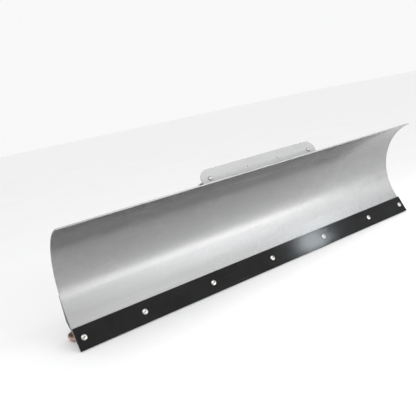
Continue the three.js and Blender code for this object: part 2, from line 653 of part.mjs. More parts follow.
function kingBolt() {
  const shank = bar(KING.shank, [0, 0, nutTop - KING.nutHeight - 6], [0, 0, boltSeat + 1], 24);
  return join(shank, planPlate(hexagon(KING.headFlats), boltSeat, KING.headHeight));
}
place(plow, 'king_bolt', kingBolt(), BRIGHT_ZINC, 0, KING.y);

const kingNut = cut(
  planPlate(hexagon(KING.headFlats), nutTop - KING.nutHeight, KING.nutHeight),
  bar(KING.shank + GAP, [0, 0, 0], [0, 0, tubeTop], 24),
);
place(plow, 'king_nut', kingNut, BRIGHT_ZINC, 0, KING.y);

const kingWasher = cut(
  bar(KING_WASHER.radius, [0, 0, washerLow], [0, 0, washerLow + KING_WASHER.thickness], 24),
  bar(KING.shank + GAP, [0, 0, 0], [0, 0, tubeTop + 20], 24),
);
place(plow, 'king_washer', kingWasher, BRIGHT_ZINC, 0, KING.y);

function lockPin() {
  const { tip, shoulder, top, head, handleZ, handle } = LOCK_PIN;
  const body = turned([
    [0, tip], [LOCK.pin - 2, tip], [LOCK.pin, tip + 3], [LOCK.pin, shoulder], [head, shoulder],
    [head, top - 2], [head - 2, top], [0, top],
  ]).rotateX(Math.PI / 2);
  return cut(body, bar(handle + GAP, [-head - 5, 0, handleZ], [head + 5, 0, handleZ]));
}
place(plow, 'lock_pin', lockPin(), BRIGHT_ZINC, 0, lockY);
const handleReach = LOCK_PIN.handleLength / 2;
const lockHandle = bar(LOCK_PIN.handle, [-handleReach, 0, 0], [handleReach, 0, 0]);
place(plow, 'lock_pin_handle', lockHandle, BRIGHT_ZINC, 0, lockY, LOCK_PIN.handleZ);

// ---------------------------------------------------------------- origin: middle of the footprint
const [tipY] = polar(upperCentre, UPPER_CURVE.radius, UPPER_CURVE.end);
plow.position.set(0, -(tipY + FLANGE.back) / 2, sectionHeight);

export default plow;
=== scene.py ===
"""ATV plow blade: fine surfaces, materials, floor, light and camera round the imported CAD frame.

Metres, in the frame's own axes: +X along the blade, +Y behind it, +Z up. "left" is -X.
"""
import json
from math import asin, cos, pi, sin, sqrt

import bmesh
import bpy
from mathutils import Matrix, Vector, noise


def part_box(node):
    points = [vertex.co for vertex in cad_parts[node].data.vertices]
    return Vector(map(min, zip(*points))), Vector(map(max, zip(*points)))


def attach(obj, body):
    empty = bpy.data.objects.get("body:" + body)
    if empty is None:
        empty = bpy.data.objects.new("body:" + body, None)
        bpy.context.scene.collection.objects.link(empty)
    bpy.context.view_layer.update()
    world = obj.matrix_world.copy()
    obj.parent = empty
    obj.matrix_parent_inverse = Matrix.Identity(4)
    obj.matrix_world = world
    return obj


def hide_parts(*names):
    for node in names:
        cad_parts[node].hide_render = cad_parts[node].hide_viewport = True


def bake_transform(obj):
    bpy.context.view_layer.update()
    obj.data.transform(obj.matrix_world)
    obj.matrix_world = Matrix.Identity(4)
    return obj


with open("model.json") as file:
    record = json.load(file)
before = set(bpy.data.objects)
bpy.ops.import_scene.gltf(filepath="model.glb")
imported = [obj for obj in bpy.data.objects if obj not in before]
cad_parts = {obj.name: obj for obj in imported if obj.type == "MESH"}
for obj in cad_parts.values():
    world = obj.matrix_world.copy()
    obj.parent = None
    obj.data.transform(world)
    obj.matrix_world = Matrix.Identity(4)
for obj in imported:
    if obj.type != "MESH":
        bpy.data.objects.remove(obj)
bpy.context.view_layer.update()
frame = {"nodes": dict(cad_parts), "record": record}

MM = 0.001
DEG = pi / 180
SIDES = {"left": -1, "right": 1}
BOTH = tuple(SIDES.values())


def mm(*values):
    return tuple(value * MM for value in values)


def adjust(thing, **settings):
    for name, value in settings.items():
        setattr(thing, name, value)
    return thing


def new_object(name, data):
    obj = bpy.data.objects.new(name, data)
    bpy.context.scene.collection.objects.link(obj)
    return obj


def facing(place, x, y, z):
    """A matrix at place with its axes along the three directions."""
    return Matrix.Translation(place) @ Matrix((x, y, z)).transposed().to_4x4()


# ---- driving dimensions, as in the CAD model
BLADE_HALF = 762 * MM
RAKE = 61.1 * DEG  # wear face above the ground
BAR_THICK = 6.35 * MM
SHEET = 3 * MM
SHEET_START, FLAT_END = 25 * MM, 95.9 * MM  # measured up the wear face
LIP = 1.5 * MM
GAP = 0.3 * MM  # left between two pieces that touch
LOWER_RADIUS, LOWER_END = 211 * MM, 40 * DEG
UPPER_RADIUS, UPPER_END = 185 * MM, 75 * DEG
BOLT_XS = mm(-738, -533.4, -266.7, 0, 266.7, 533.4, 738)
BOLT_UP = 35.5 * MM
PLATE_LEAN = 25.9 * DEG
PLATE_THICK = 4 * MM
EAR_X, EAR_UP, EAR_RADIUS = mm(222, 25, 34)

# The section's origin is the wear bar's front bottom edge.
ORIGIN = Vector((0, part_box("wear_bar")[0].y, BAR_THICK * cos(RAKE)))
PLATE_ORIGIN = ORIGIN + Vector((0, -34.1, 365.4)) * MM
PLATE_UP = Vector((0, sin(PLATE_LEAN), cos(PLATE_LEAN)))
PLATE_BEHIND = Vector((0, cos(PLATE_LEAN), -sin(PLATE_LEAN)))


def on_face(up, back, x=0.0):
    """A point from its distances up the wear face and behind it."""
    return ORIGIN + Vector((x, up * cos(RAKE) + back * sin(RAKE),
                            up * sin(RAKE) - back * cos(RAKE)))


def on_plate(up, back, x=0.0):
    """A point from its distances up the spring plate and behind its front face."""
    return PLATE_ORIGIN + PLATE_UP * up + PLATE_BEHIND * back + Vector((x, 0, 0))


def polar(centre, radius, angle):
    return centre + Vector((0, cos(angle), sin(angle))) * radius


FACE_TURN = RAKE - pi / 2
SHEET_FRONT = BAR_THICK + GAP
SHEET_BACK = SHEET_FRONT + SHEET
BEHIND_SHEET = SHEET_BACK + GAP
LOWER_CENTRE = on_face(FLAT_END, SHEET_FRONT - LOWER_RADIUS)
UPPER_CENTRE = polar(LOWER_CENTRE, LOWER_RADIUS - UPPER_RADIUS, LOWER_END)
BACKWARD = on_face(0, 1) - on_face(0, 0)  # square to the wear face


# ---- shader nodes
class Nodes:
    """A material's or world's node tree, with short calls for the nodes used here."""

    def __init__(self, owner):
        owner.use_nodes = True
        self.tree = owner.node_tree

    def feed(self, socket, value):
        """Sets a socket to a number, a vector or a colour, or links another node's output to it."""
        if isinstance(value, bpy.types.NodeSocket):
            self.tree.links.new(value, socket)
        else:
            socket.default_value = (*value, 1) if socket.type == "RGBA" else value

    def add(self, kind, output, inputs=(), **settings):
        """Adds a node, makes its settings, feeds its inputs by name or number and gives an output."""
        node = adjust(self.tree.nodes.new("ShaderNode" + kind), **settings)
        for key, value in dict(inputs).items():
            self.feed(node.inputs[key], value)
        return node.outputs[output]

    def noise(self, scale, detail, roughness, stretch=(1, 1, 1)):
        where = self.add("TexCoord", "Object")
        where = self.add("Mapping", "Vector", {"Vector": where, "Scale": stretch})
        inputs = {"Scale": scale, "Detail": detail, "Roughness": roughness, "Vector": where}
        return self.add("TexNoise", "Fac", inputs)

    def ramp(self, factor, *stops, blend="LINEAR"):
        """A colour ramp over stops, each a position and a colour or a grey."""
        node = self.tree.nodes.new("ShaderNodeValToRGB")
        node.color_ramp.interpolation = blend
        elements = node.color_ramp.elements
        while len(elements) < len(stops):
            elements.new(0.5)
        for i in reversed(range(len(stops))):  # last first, so that they stay sorted
            position, colour = stops[i]
            elements[i].position = position
            elements[i].color = (*(colour if isinstance(colour, tuple) else (colour,) * 3), 1)
        self.feed(node.inputs["Fac"], factor)
        return node.outputs["Color"]

    def between(self, factor, low, high):
        """From low to high over the middle of a noise's range."""
        return self.ramp(factor, (0.3, low), (0.7, high))

    def mix(self, factor, a, b):
        return self.add("Mix", MIX_OUT, {MIX_FACTOR: factor, MIX_A: a, MIX_B: b}, data_type="RGBA")

    def bump(self, *layers):
        """Layers of (height output, strength, distance in metres), one on top of another."""
        below = {}
        for height, strength, distance in layers:
            inputs = {"Strength": strength, "Distance": distance, "Height": height, **below}
            below = {"Normal": self.add("Bump", "Normal", inputs)}
        self.set(**below)

    def open_sky(self, reach):
        """1 on an open surface, less inside holes and crevices: the mask that paints shade into them."""
        return self.add("AmbientOcclusion", "AO", {"Distance": reach})

    def edges(self):
        """Bright on worn outer edges."""
        return self.add("NewGeometry", "Pointiness")

    def set(self, **values):
        for name, value in values.items():
            self.feed(self.tree.nodes["Principled BSDF"].inputs[name.replace("_", " ")], value)


MIX_FACTOR, MIX_A, MIX_B, MIX_OUT = 0, 6, 7, 2  # a colour mix node's sockets


# ---- camera, light and studio
CAMERA_PLACE = Vector((-1.115, -1.6415, 0.6275))
CAMERA_FORWARD = Vector((0.50753, 0.83962, -0.19352))
CAMERA_UP = Vector((0.26952, 0.05862, 0.96121))
CAMERA_LENS = 44.92
CAMERA_REACH = 60
STUDIO_STRENGTH = 3.2
SOFTBOX_WAY = Vector((0.54, -0.84, 0.06)).normalized()  # to the bright wall that the blade reflects
SOFTBOX_SQUEEZE = 0.6  # heights count less, so the wall is taller than wide
SOFTBOX_STOPS = ((0.84, (0.295, 0.295, 0.296)), (0.97, (0.80, 0.805, 0.81)), (0.995, (1.22, 1.23, 1.24)))


def add_camera():
    data = adjust(bpy.data.cameras.new("camera"), lens=CAMERA_LENS, clip_end=CAMERA_REACH)
    camera = new_object("camera", data)
    right = CAMERA_FORWARD.cross(CAMERA_UP).normalized()
    up = right.cross(CAMERA_FORWARD).normalized()
    camera.matrix_world = facing(CAMERA_PLACE, right, up, -CAMERA_FORWARD)
    bpy.context.scene.camera = camera


def add_light(name, place, target, size, power, colour=(1, 1, 1), spread=180 * DEG):
    """A rectangular lamp, its size in metres, its power in watts."""
    data = adjust(bpy.data.lights.new(name, "AREA"), shape="RECTANGLE", size=size[0], size_y=size[1],
                  energy=power, spread=spread, color=colour)
    turn = (Vector(target) - Vector(place)).to_track_quat("-Z", "Y").to_euler()
    return adjust(new_object(name, data), location=place, visible_camera=False, rotation_euler=turn)


def add_studio():
    """A pale room with a bright wall in front of the blade."""
    world = bpy.data.worlds.new("studio")
    bpy.context.scene.world = world
    n = Nodes(world)
    way = n.add("TexCoord", "Generated")
    low = n.add("Mapping", "Vector", {"Vector": way, "Scale": (1, 1, SOFTBOX_SQUEEZE)}, vector_type="VECTOR")
    unit = n.add("VectorMath", "Vector", {0: low}, operation="NORMALIZE")
    facing = n.add("VectorMath", "Value", {0: unit, 1: SOFTBOX_WAY}, operation="DOT_PRODUCT")
    background = n.tree.nodes["Background"].inputs
    n.feed(background["Strength"], STUDIO_STRENGTH)
    n.feed(background["Color"], n.ramp(facing, *SOFTBOX_STOPS, blend="EASE"))


def add_bar_lamp():
    """A cool lamp that only the wear bar's gloss picks up."""
    lamp = add_light("bar_lamp", place=(1.87, -1.79, 1.2), target=(0.2, -0.18, 0.03), size=(0.22, 0.22),
                     power=20, colour=(0.88, 0.96, 1.0))
    receivers = bpy.data.collections.new("bar_lamp_falls_on")
    receivers.objects.link(frame["nodes"]["wear_bar"])
    lamp.light_linking.receiver_collection = receivers


bpy.context.scene.view_settings.view_transform = "Standard"
add_camera()
add_studio()
add_light("key", place=(-1.6, -2.2, 3.2), target=(0, 0, 0.2), size=(2.4, 1.6), power=34)
add_light("wash", place=(0.9, -2.2, 1.9), target=(0.9, -2.2, 0), size=(2.4, 1.4), power=85, spread=100 * DEG)
add_light("strip", place=(0.95, -2.45, 0.06), target=(0, 0, 0.1), size=(2.6, 0.09), power=7)
add_light("spark", place=(2.3, -2.05, 1.45), target=(0.25, -0.18, 0.05), size=(0.36, 0.36), power=2.2,
          colour=(0.86, 0.93, 1.0))
add_bar_lamp()


# ---- materials
def galvanised(n):
    grain = n.noise(260, 3, 0.6, (0.03, 1, 1))
    cloud = n.noise(3.2, 4, 0.6, (0.6, 1, 1))
    flecks = n.noise(900, 2, 0.5)
    base = n.mix(0.35, n.between(cloud, 0.24, 0.27), n.between(grain, 0.225, 0.285))
    n.bump((grain, 0.10, 0.4 * MM), (flecks, 0.05, 0.2 * MM))
    rough = n.mix(0.5, n.between(cloud, 0.23, 0.29), n.between(flecks, 0.235, 0.30))
    n.set(Base_Color=base, Roughness=rough, Metallic=0.65)


def white_zinc(n):
    cloud = n.noise(9, 4, 0.6)
    flecks = n.noise(700, 2, 0.5)
    # painted shade: ambient occlusion turns the plate's holes, slots and fold near black
    crevice_shade = (0.045, 0.043, 0.04)
    zinc = n.mix(0.3, n.between(cloud, 0.34, 0.39), n.between(flecks, 0.31, 0.42))
    base = n.mix(n.ramp(n.open_sky(9 * MM), (0.62, 0.0), (0.88, 1.0)), crevice_shade, zinc)
    n.bump((flecks, 0.06, 0.2 * MM))
    n.set(Base_Color=base, Roughness=n.between(cloud, 0.45, 0.55), Metallic=0.2)


def wear_steel(n):
    cloud = n.noise(12, 4, 0.6)
    scuff = n.noise(150, 3, 0.7, (0.04, 1, 1))
    fine = n.noise(800, 2, 0.5)
    scuffed = (0.035, 0.035, 0.037)
    base = n.mix(n.ramp(scuff, (0.62, 0.0), (0.78, 0.6)), n.between(cloud, 0.009, 0.013), scuffed)
    n.bump((fine, 0.10, 0.3 * MM), (scuff, 0.04, 0.2 * MM))
    n.set(Base_Color=base, Roughness=n.between(cloud, 0.10, 0.13), Metallic=0.0, Specular_IOR_Level=0.035)


def black_coat(n):
    orange_peel = n.noise(420, 2, 0.4)
    cloud = n.noise(8, 4, 0.6)
    worn = n.ramp(n.edges(), (0.56, 0.0), (0.66, 0.5))
    bare = (0.16, 0.155, 0.15)
    base = n.mix(worn, n.between(cloud, 0.022, 0.036), bare)
    n.bump((orange_peel, 0.12, 0.4 * MM))
    n.set(Base_Color=base, Roughness=n.between(cloud, 0.40, 0.50), Metallic=0.0)


def bright_zinc(n):
    cloud = n.noise(60, 4, 0.6)
    fine = n.noise(1500, 2, 0.5)
    # painted shade: ambient occlusion turns bolt-head dimples, the rings where heads meet the bar, threads
    # and other crevices near black
    crevice_shade = (0.035, 0.033, 0.03)
    zinc = n.mix(0.4, n.between(cloud, (0.38, 0.37, 0.35), (0.48, 0.465, 0.44)),
                 n.between(fine, (0.34, 0.33, 0.31), (0.50, 0.49, 0.465)))
    base = n.mix(n.ramp(n.open_sky(5 * MM), (0.4, 0.0), (0.85, 1.0)), crevice_shade, zinc)
    n.bump((fine, 0.05, 0.1 * MM))
    n.set(Base_Color=base, Roughness=n.between(cloud, 0.24, 0.36), Metallic=1.0)


def rusty_iron(n):
    patches = n.noise(38, 6, 0.65)
    grit = n.noise(420, 4, 0.6)
    rust = n.ramp(grit, (0.3, (0.34, 0.20, 0.16)), (0.55, (0.52, 0.36, 0.30)), (0.8, (0.70, 0.56, 0.50)))
    scale = n.between(grit, (0.06, 0.045, 0.04), (0.15, 0.11, 0.09))
    base = n.mix(n.ramp(patches, (0.46, 0.0), (0.60, 1.0)), rust, scale)
    n.bump((patches, 0.3, 1.0 * MM), (grit, 0.35, 0.6 * MM))
    n.set(Base_Color=base, Roughness=n.between(grit, 0.55, 0.85), Metallic=0.35)


def spring_steel(n):
    drawn = n.noise(90, 4, 0.6)
    fine = n.noise(1200, 2, 0.5)
    base = n.mix(0.4, n.between(drawn, 0.56, 0.68), n.between(fine, 0.52, 0.70))
    n.bump((fine, 0.06, 0.1 * MM))
    n.set(Base_Color=base, Roughness=n.between(drawn, 0.28, 0.40), Metallic=0.95)


def floor_paint(n):
    n.set(Base_Color=n.between(n.noise(2.0, 3, 0.5), 0.83, 0.85), Roughness=0.7)


def material(paint):
    """A material named after the function that sets its nodes."""
    made = bpy.data.materials.new(paint.__name__)
    paint(Nodes(made))
    return made


PAINTS = (galvanised, white_zinc, wear_steel, black_coat, bright_zinc, rusty_iron, spring_steel)
MATERIALS = {paint.__name__: material(paint) for paint in PAINTS}


def both_ends(*makers):
    """Runs the makers for the left end and then for the right one."""
    for side, sign in SIDES.items():
        for make in makers:
            make(side, sign)


# ---- mesh helpers
PLATE_EDGE = 0.6 * MM  # the radius of a cut plate's edges
SMOOTH = 35 * DEG  # flatter edges than this are shaded smooth
MERGE = 1e-6


def new_mesh(verts, faces, matrix=Matrix()):
    mesh = bpy.data.meshes.new("part")
    mesh.from_pydata([tuple(v) for v in verts], [], faces)
    mesh.validate()
    mesh.transform(matrix)
    return mesh


def grid_faces(rows, columns, closed_rows=False):
    """Quads over rows of points. Each row is a loop, and closed_rows joins the last row to the first."""
    faces = []
    for i in range(rows if closed_rows else rows - 1):
        here, there = i * columns, (i + 1) % rows * columns
        for j in range(columns):
            beside = (j + 1) % columns
            faces.append((here + j, here + beside, there + beside, there + j))
    return faces


def capped(rows, columns):
    """The faces of a body whose rows are loops, with its two ends closed."""
    last = (rows - 1) * columns
    return grid_faces(rows, columns) + [tuple(range(columns - 1, -1, -1)), tuple(range(last, last + columns))]


def frame_at(place, axis):
    """A matrix whose Z runs along axis, at place."""
    z = Vector(axis).normalized()
    x = Vector((1, 0, 0)) if abs(z.x) < 0.9 else Vector((0, 1, 0))
    y = z.cross(x).normalized()
    x = y.cross(z)
    return facing(Vector(place), x, y, z)


def about(x, y, radius, angle):
    return x + radius * cos(angle), y + radius * sin(angle)


def arc(x, y, radius, start, end, steps):
    return [about(x, y, radius, start + (end - start) * i / steps) for i in range(steps + 1)]


def circle(x, y, radius, segments=48):
    return arc(x, y, radius, 0, 2 * pi, segments)[:-1]


def stacked(loops, place, axis, closed_rows=False):
    """A body from (loop, height) pairs up an axis, its first and last loops points or joined."""
    verts = [(x, y, h) for loop, h in loops for x, y in loop]
    return new_mesh(verts, grid_faces(len(loops), len(loops[0][0]), closed_rows), frame_at(place, axis))


def lathe(points, place, axis, segments=48):
    """A turned body from (radius, height) points that end on the axis, or that close a ring."""
    loops = [(circle(0, 0, r, segments), h) for r, h in points]
    return stacked(loops, place, axis, closed_rows=points[0][0] > 0)


def rounded(points, radius, steps=4):
    """The same open profile with each inner corner rounded, by less than half of either side."""
    out = [points[0]]
    for before, corner, after in zip(points, points[1:], points[2:]):
        a, b, c = Vector((*before, 0)), Vector((*corner, 0)), Vector((*after, 0))
        r = min(radius, (a - b).length * 0.45, (c - b).length * 0.45)
        start, end = b + (a - b).normalized() * r, b + (c - b).normalized() * r
        for i in range(steps + 1):
            t = i / steps
            p = start * (1 - t) ** 2 + b * 2 * t * (1 - t) + end * t ** 2
            out.append((p.x, p.y))
    out.append(points[-1])
    return out


def tube(path, radius, sides, ripple=None):
    """A round wire along path, with closed ends. ripple(i) scales its radius along the way."""
    path = [Vector(p) for p in path]
    tangent = (path[1] - path[0]).normalized()
    side = tangent.orthogonal().normalized()
    verts = []
    for i, point in enumerate(path):
        ahead, behind = path[min(i + 1, len(path) - 1)], path[max(i - 1, 0)]
        tangent = (ahead - behind).normalized()
        side = (side - tangent * side.dot(tangent)).normalized()
        up = tangent.cross(side)
        r = radius * (ripple(i) if ripple else 1)
        verts += [point + side * x + up * y for x, y in circle(0, 0, r, sides)]
    return new_mesh(verts, capped(len(path), sides))


def smooth_path(points, steps):
    """A Catmull-Rom path through the points."""
    points = [Vector(p) for p in points]
    ends = [points[0] * 2 - points[1], *points, points[-1] * 2 - points[-2]]
    out = []
    for a, b, c, d in zip(ends, ends[1:], ends[2:], ends[3:]):
        for i in range(steps):
            t = i / steps
            out.append(0.5 * ((2 * b) + (c - a) * t + (2 * a - 5 * b + 4 * c - d) * t * t
                              + (3 * b - a - 3 * c + d) * t ** 3))
    out.append(points[-1])
    return out


def settled(holder):
    """The mesh of an object as its modifiers or curve make it."""
    return bpy.data.meshes.new_from_object(holder.evaluated_get(bpy.context.evaluated_depsgraph_get()))


def plate(outline, holes, thickness, matrix, edge=PLATE_EDGE):
    """A flat plate with rounded edges: outline and holes in x and y, thickness from z 0 up."""
    curve = adjust(bpy.data.curves.new("outline", "CURVE"), dimensions="2D", fill_mode="BOTH",
                   extrude=thickness / 2 - edge, bevel_depth=edge, bevel_resolution=2, offset=-edge)
    for loop in [outline, *holes]:
        spline = curve.splines.new("POLY")
        spline.points.add(len(loop) - 1)
        for point, (x, y) in zip(spline.points, loop):
            point.co = (x, y, 0, 1)
        spline.use_cyclic_u = True
    holder = new_object("outline", curve)
    mesh = settled(holder)
    bpy.data.objects.remove(holder)
    bpy.data.curves.remove(curve)
    mesh.transform(matrix @ Matrix.Translation((0, 0, thickness / 2)))
    return mesh


def rectangle(left, low, right, high):
    return [(left, low), (right, low), (right, high), (left, high)]


def modify(obj, kind, **settings):
    adjust(obj.modifiers.new(kind, kind), **settings)


def carved(mesh, tool):
    """The mesh with the tool's shape cut out of it."""
    holders = [new_object("carving", data) for data in (mesh, tool)]
    modify(holders[0], "BOOLEAN", operation="DIFFERENCE", object=holders[1])
    left = settled(holders[0])
    for holder in holders:
        bpy.data.objects.remove(holder)
    bpy.data.meshes.remove(mesh)
    bpy.data.meshes.remove(tool)
    return left


def piece(name, meshes, slot, body, *nodes, smooth=SMOOTH):
    """Joins the meshes into one object that stands for the CAD nodes and may ride on a body."""
    built = bmesh.new()
    for mesh in meshes:
        built.from_mesh(mesh)
        bpy.data.meshes.remove(mesh)
    bmesh.ops.remove_doubles(built, verts=built.verts, dist=MERGE)
    bmesh.ops.recalc_face_normals(built, faces=built.faces)
    data = bpy.data.meshes.new(name)
    built.to_mesh(data)
    built.free()
    data.polygons.foreach_set("use_smooth", [True] * len(data.polygons))
    data.set_sharp_from_angle(angle=smooth)
    data.materials.append(MATERIALS[slot])
    obj = new_object(name, data)
    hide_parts(*nodes)
    if body:
        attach(obj, body)
    return obj


# ---- carried-over CAD nodes
def dress_nodes():
    """Every CAD node gets its slot's material, and edges broken as on a real steel part."""
    slots = {row["node"]: row["material_slot"] for row in frame["record"]["subparts"]}
    for name, obj in frame["nodes"].items():
        obj.data.materials.clear()
        obj.data.materials.append(MATERIALS[slots[name]])
        modify(obj, "WELD", merge_threshold=2 * MERGE)
        modify(obj, "BEVEL", width=0.5 * MM, segments=2, limit_method="ANGLE", angle_limit=50 * DEG,
               use_clamp_overlap=True)
        modify(obj, "WEIGHTED_NORMAL", keep_sharp=True)
        obj.data.polygons.foreach_set("use_smooth", [True] * len(obj.data.polygons))


dress_nodes()


# ---- moldboard
def sheet_curve(depth):
    """The sheet's section at a depth behind its front, from its low edge to its lip."""
    rise, flat_steps = FLAT_END - SHEET_START, 6
    ups = [SHEET_START + rise * i / flat_steps for i in range(flat_steps + 1)]
    points = [on_face(up, SHEET_FRONT + depth) for up in ups]
    for centre, radius, start, end, steps in (
        (LOWER_CENTRE, LOWER_RADIUS, FACE_TURN, LOWER_END, 60),
        (UPPER_CENTRE, UPPER_RADIUS, LOWER_END, UPPER_END, 36),
    ):
        angles = [start + (end - start) * i / steps for i in range(1, steps + 1)]
        points += [polar(centre, radius + depth, angle) for angle in angles]
    return points


def edge_loop():
    """The closed outline of the section with round corners, front going up and back coming down."""
    front, back = sheet_curve(0), sheet_curve(SHEET)
    corner = 0.5 * MM
    top_out = (back[-1] - front[-1]).normalized()
    top_up = (front[-1] - front[-2]).normalized()
    lip = back[-1] + top_out * LIP
    loop = front[:-1] + [front[-1] - top_up * corner, front[-1] + top_out * corner]
    loop += [lip - top_out * corner, lip - top_up * corner]
    loop += [lip - top_up * (SHEET - corner), back[-1] - top_up * (SHEET + corner)]
    return loop + [p for p in reversed(back[:-1]) if (p - back[-1]).length > SHEET + 2 * corner]


def moldboard():
    """The rolled sheet, slightly wavy as rolled steel is."""
    loop = edge_loop()
    end, stations, wave = 0.6 * MM, 96, 0.25 * MM
    xs = [-BLADE_HALF, -BLADE_HALF + end * 0.3, -BLADE_HALF + end]
    xs += [-BLADE_HALF + 2 * BLADE_HALF * i / stations for i in range(1, stations)]
    xs += [BLADE_HALF - end, BLADE_HALF - end * 0.3, BLADE_HALF]
    verts = [(x, p.y + noise.noise(Vector((x * 2.1, p.y * 5, p.z * 5))) * wave, p.z)
             for x in xs for p in loop]
    sheet = new_mesh(verts, capped(len(xs), len(loop)))
    piece("moldboard_sheet", [sheet], "galvanised", "blade", "moldboard")


moldboard()


# ---- wear bar bolts
HEAD_RADIUS, HEAD_HEIGHT, HEAD_RIM, HEAD_EDGE = mm(9.9, 4.4, 0.9, 0.35)
DIMPLE = ((0, 2.3), (1.6, 2.2), (2.5, 1.6), (3.0, 0.5))  # radius and depth below the crown, in millimetres
DIMPLE_RADIUS = 3.2 * MM
BOLT_SHANK, BOLT_LENGTH, BOLT_NECK, BOLT_PITCH, BOLT_THREAD = mm(4.7, 24, 9.3, 1.59, 0.75)
NUT_FLATS, NUT_HEIGHT, NUT_FLANGE, NUT_BORE = mm(14.3, 8.5, 9.6, 4.8)


def bolt_head(x):
    """A carriage bolt's shallow round head with its forging dimple, on the bar's front."""
    points = [(r * MM, HEAD_HEIGHT - depth * MM) for r, depth in DIMPLE]
    steps = 12
    for i in range(1, steps + 1):
        angle = i * pi / 2 / steps
        points.append((max(HEAD_RADIUS * sin(angle), DIMPLE_RADIUS),
                       HEAD_RIM + (HEAD_HEIGHT - HEAD_RIM) * cos(angle)))
    points += [(HEAD_RADIUS, HEAD_EDGE), (HEAD_RADIUS - HEAD_EDGE, 0), (0, 0)]
    return lathe([(r, h + GAP) for r, h in points], on_face(BOLT_UP, 0, x), -BACKWARD)


def threaded(place, axis, radius, pitch, depth, low, high):
    """A threaded shank from low to high, its ridges one helix."""
    around, per_turn, plain = 32, 8, 0.7  # the last turn is plain, at this share of the depth
    rows = int((high - low) / pitch * per_turn)
    verts = []
    for i in range(rows + 1):
        h = low + (high - low) * i / rows
        for j in range(around):
            a = 2 * pi * j / around
            phase = (h / pitch - j / around) % 1.0
            r = radius - depth * (abs(2 * phase - 1) if high - h > pitch else plain)
            verts.append((*about(0, 0, r, a), h))
    return new_mesh(verts, capped(rows + 1, around), frame_at(place, axis))


def hexagon(flats, share, around):
    """A hexagon as a loop of points, its corners cut to a circle of a share of their reach."""
    corner = flats / sqrt(3) * share + 0.02 * MM
    points = []
    for i in range(around):
        a = 2 * pi * i / around
        sector = (a + pi / 6) % (pi / 3) - pi / 6
        points.append(about(0, 0, min(flats / 2 / cos(sector), corner), a))
    return points


def flange_nut(place, axis):
    around, edge = 48, 0.3 * MM
    flange = ((NUT_BORE, 0), (NUT_FLANGE - edge, 0), (NUT_FLANGE, 0.4 * MM), (NUT_FLANGE - edge, 1.3 * MM))
    loops = [(circle(0, 0, r, around), h) for r, h in flange]
    for share, h in ((1.0, 1.9 * MM), (1.0, NUT_HEIGHT - 1.1 * MM), (0.93, NUT_HEIGHT)):
        loops.append((hexagon(NUT_FLATS, share, around), h))
    loops += [(circle(0, 0, NUT_BORE, around), h) for h in (NUT_HEIGHT, 0)]
    return stacked(loops, place, axis)


def wear_bar_bolts():
    neck = BOLT_NECK / 2
    for number, x in enumerate(BOLT_XS, 1):
        place = on_face(BOLT_UP, 0, x)
        shank = threaded(place, BACKWARD, BOLT_SHANK, BOLT_PITCH, BOLT_THREAD, 0, BOLT_LENGTH)
        collar = plate(rectangle(-neck, -neck, neck, neck), [], BAR_THICK - GAP, frame_at(place, BACKWARD))
        piece(f"carriage_bolt_{number}", [bolt_head(x), shank, collar], "bright_zinc", "blade",
              f"wear_bar_bolt_{number}")
        nut = flange_nut(on_face(BOLT_UP, BEHIND_SHEET, x), BACKWARD)
        piece(f"flange_nut_{number}", [nut], "bright_zinc", "blade", f"wear_bar_nut_{number}")


wear_bar_bolts()


# ---- spring plate
PLATE_LOW, PLATE_TOP, PLATE_HALF, PLATE_NOTCH, PLATE_FOLD, PLATE_BEND = mm(5, 59, 192, 6, 14, 0.7)
EAR_HOLE, FLAP_HOLE, FLAP_HOLE_X, FLAP_HOLE_UP = mm(5.3, 4, 67, 28)
SLOT_FROM, SLOT_TO, SLOT_UP, SLOT_RADIUS = mm(41, 139, 11, 1.5)
TAB_X, TAB_HALF, TAB_LOW, TAB_HIGH, TAB_PROUD, TAB_EDGE = mm(148, 3, 17, 41, 0.35, 0.3)


def spring_plate():
    """The folded plate on top of the sheet, with its ears, holes, slots and two tabs standing proud."""
    foot = asin((EAR_UP - PLATE_LOW) / EAR_RADIUS)
    half, notch, top = PLATE_HALF, PLATE_NOTCH, PLATE_TOP
    outline = arc(EAR_X, EAR_UP, EAR_RADIUS, -foot, 90 * DEG, 30)
    outline += [(half + notch, top), (half, top - notch), (half - notch, top)]
    outline += [(-half + notch, top), (-half, top - notch), (-half - notch, top)]
    outline += arc(-EAR_X, EAR_UP, EAR_RADIUS, 90 * DEG, 180 * DEG + foot, 30)
    holes, tabs = [], []
    for sign in BOTH:
        left, right = sorted((sign * SLOT_FROM, sign * SLOT_TO))
        holes.append(arc(right - SLOT_RADIUS, SLOT_UP, SLOT_RADIUS, -90 * DEG, 90 * DEG, 10)
                     + arc(left + SLOT_RADIUS, SLOT_UP, SLOT_RADIUS, 90 * DEG, 270 * DEG, 10))
        holes.append(circle(sign * FLAP_HOLE_X, FLAP_HOLE_UP, FLAP_HOLE, 32))
        holes.append(circle(sign * EAR_X, EAR_UP, EAR_HOLE, 32))
    forward, rightward = -PLATE_BEHIND, Vector((1, 0, 0))
    matrix = facing(on_plate(0, PLATE_THICK), rightward, PLATE_UP, forward)
    front = plate(outline, holes, PLATE_THICK, matrix, PLATE_BEND)
    width, inside = half - notch, 1 * MM
    bend = rectangle(inside, -PLATE_THICK, PLATE_FOLD, 0)
    fold_at = facing(on_plate(top, 0, width), PLATE_BEHIND, PLATE_UP, -rightward)
    fold = plate(bend, [], 2 * width, fold_at, PLATE_BEND)
    raised = Matrix.Translation(forward * PLATE_THICK / 2) @ matrix
    for x in (-TAB_X, TAB_X):
        corners = rectangle(x - TAB_HALF, TAB_LOW, x + TAB_HALF, TAB_HIGH)
        tabs.append(plate(corners, [], PLATE_THICK / 2 + TAB_PROUD, raised, TAB_EDGE))
    piece("spring_plate_formed", [front, fold, *tabs], "white_zinc", "blade", "spring_plate")


spring_plate()


# ---- plates in the frame's three planes
ALONG_X = Matrix(((0, 0, 1, 0), (1, 0, 0, 0), (0, 1, 0, 0), (0, 0, 0, 1)))
ALONG_Y = Matrix(((1, 0, 0, 0), (0, 0, -1, 0), (0, 1, 0, 0), (0, 0, 0, 1)))


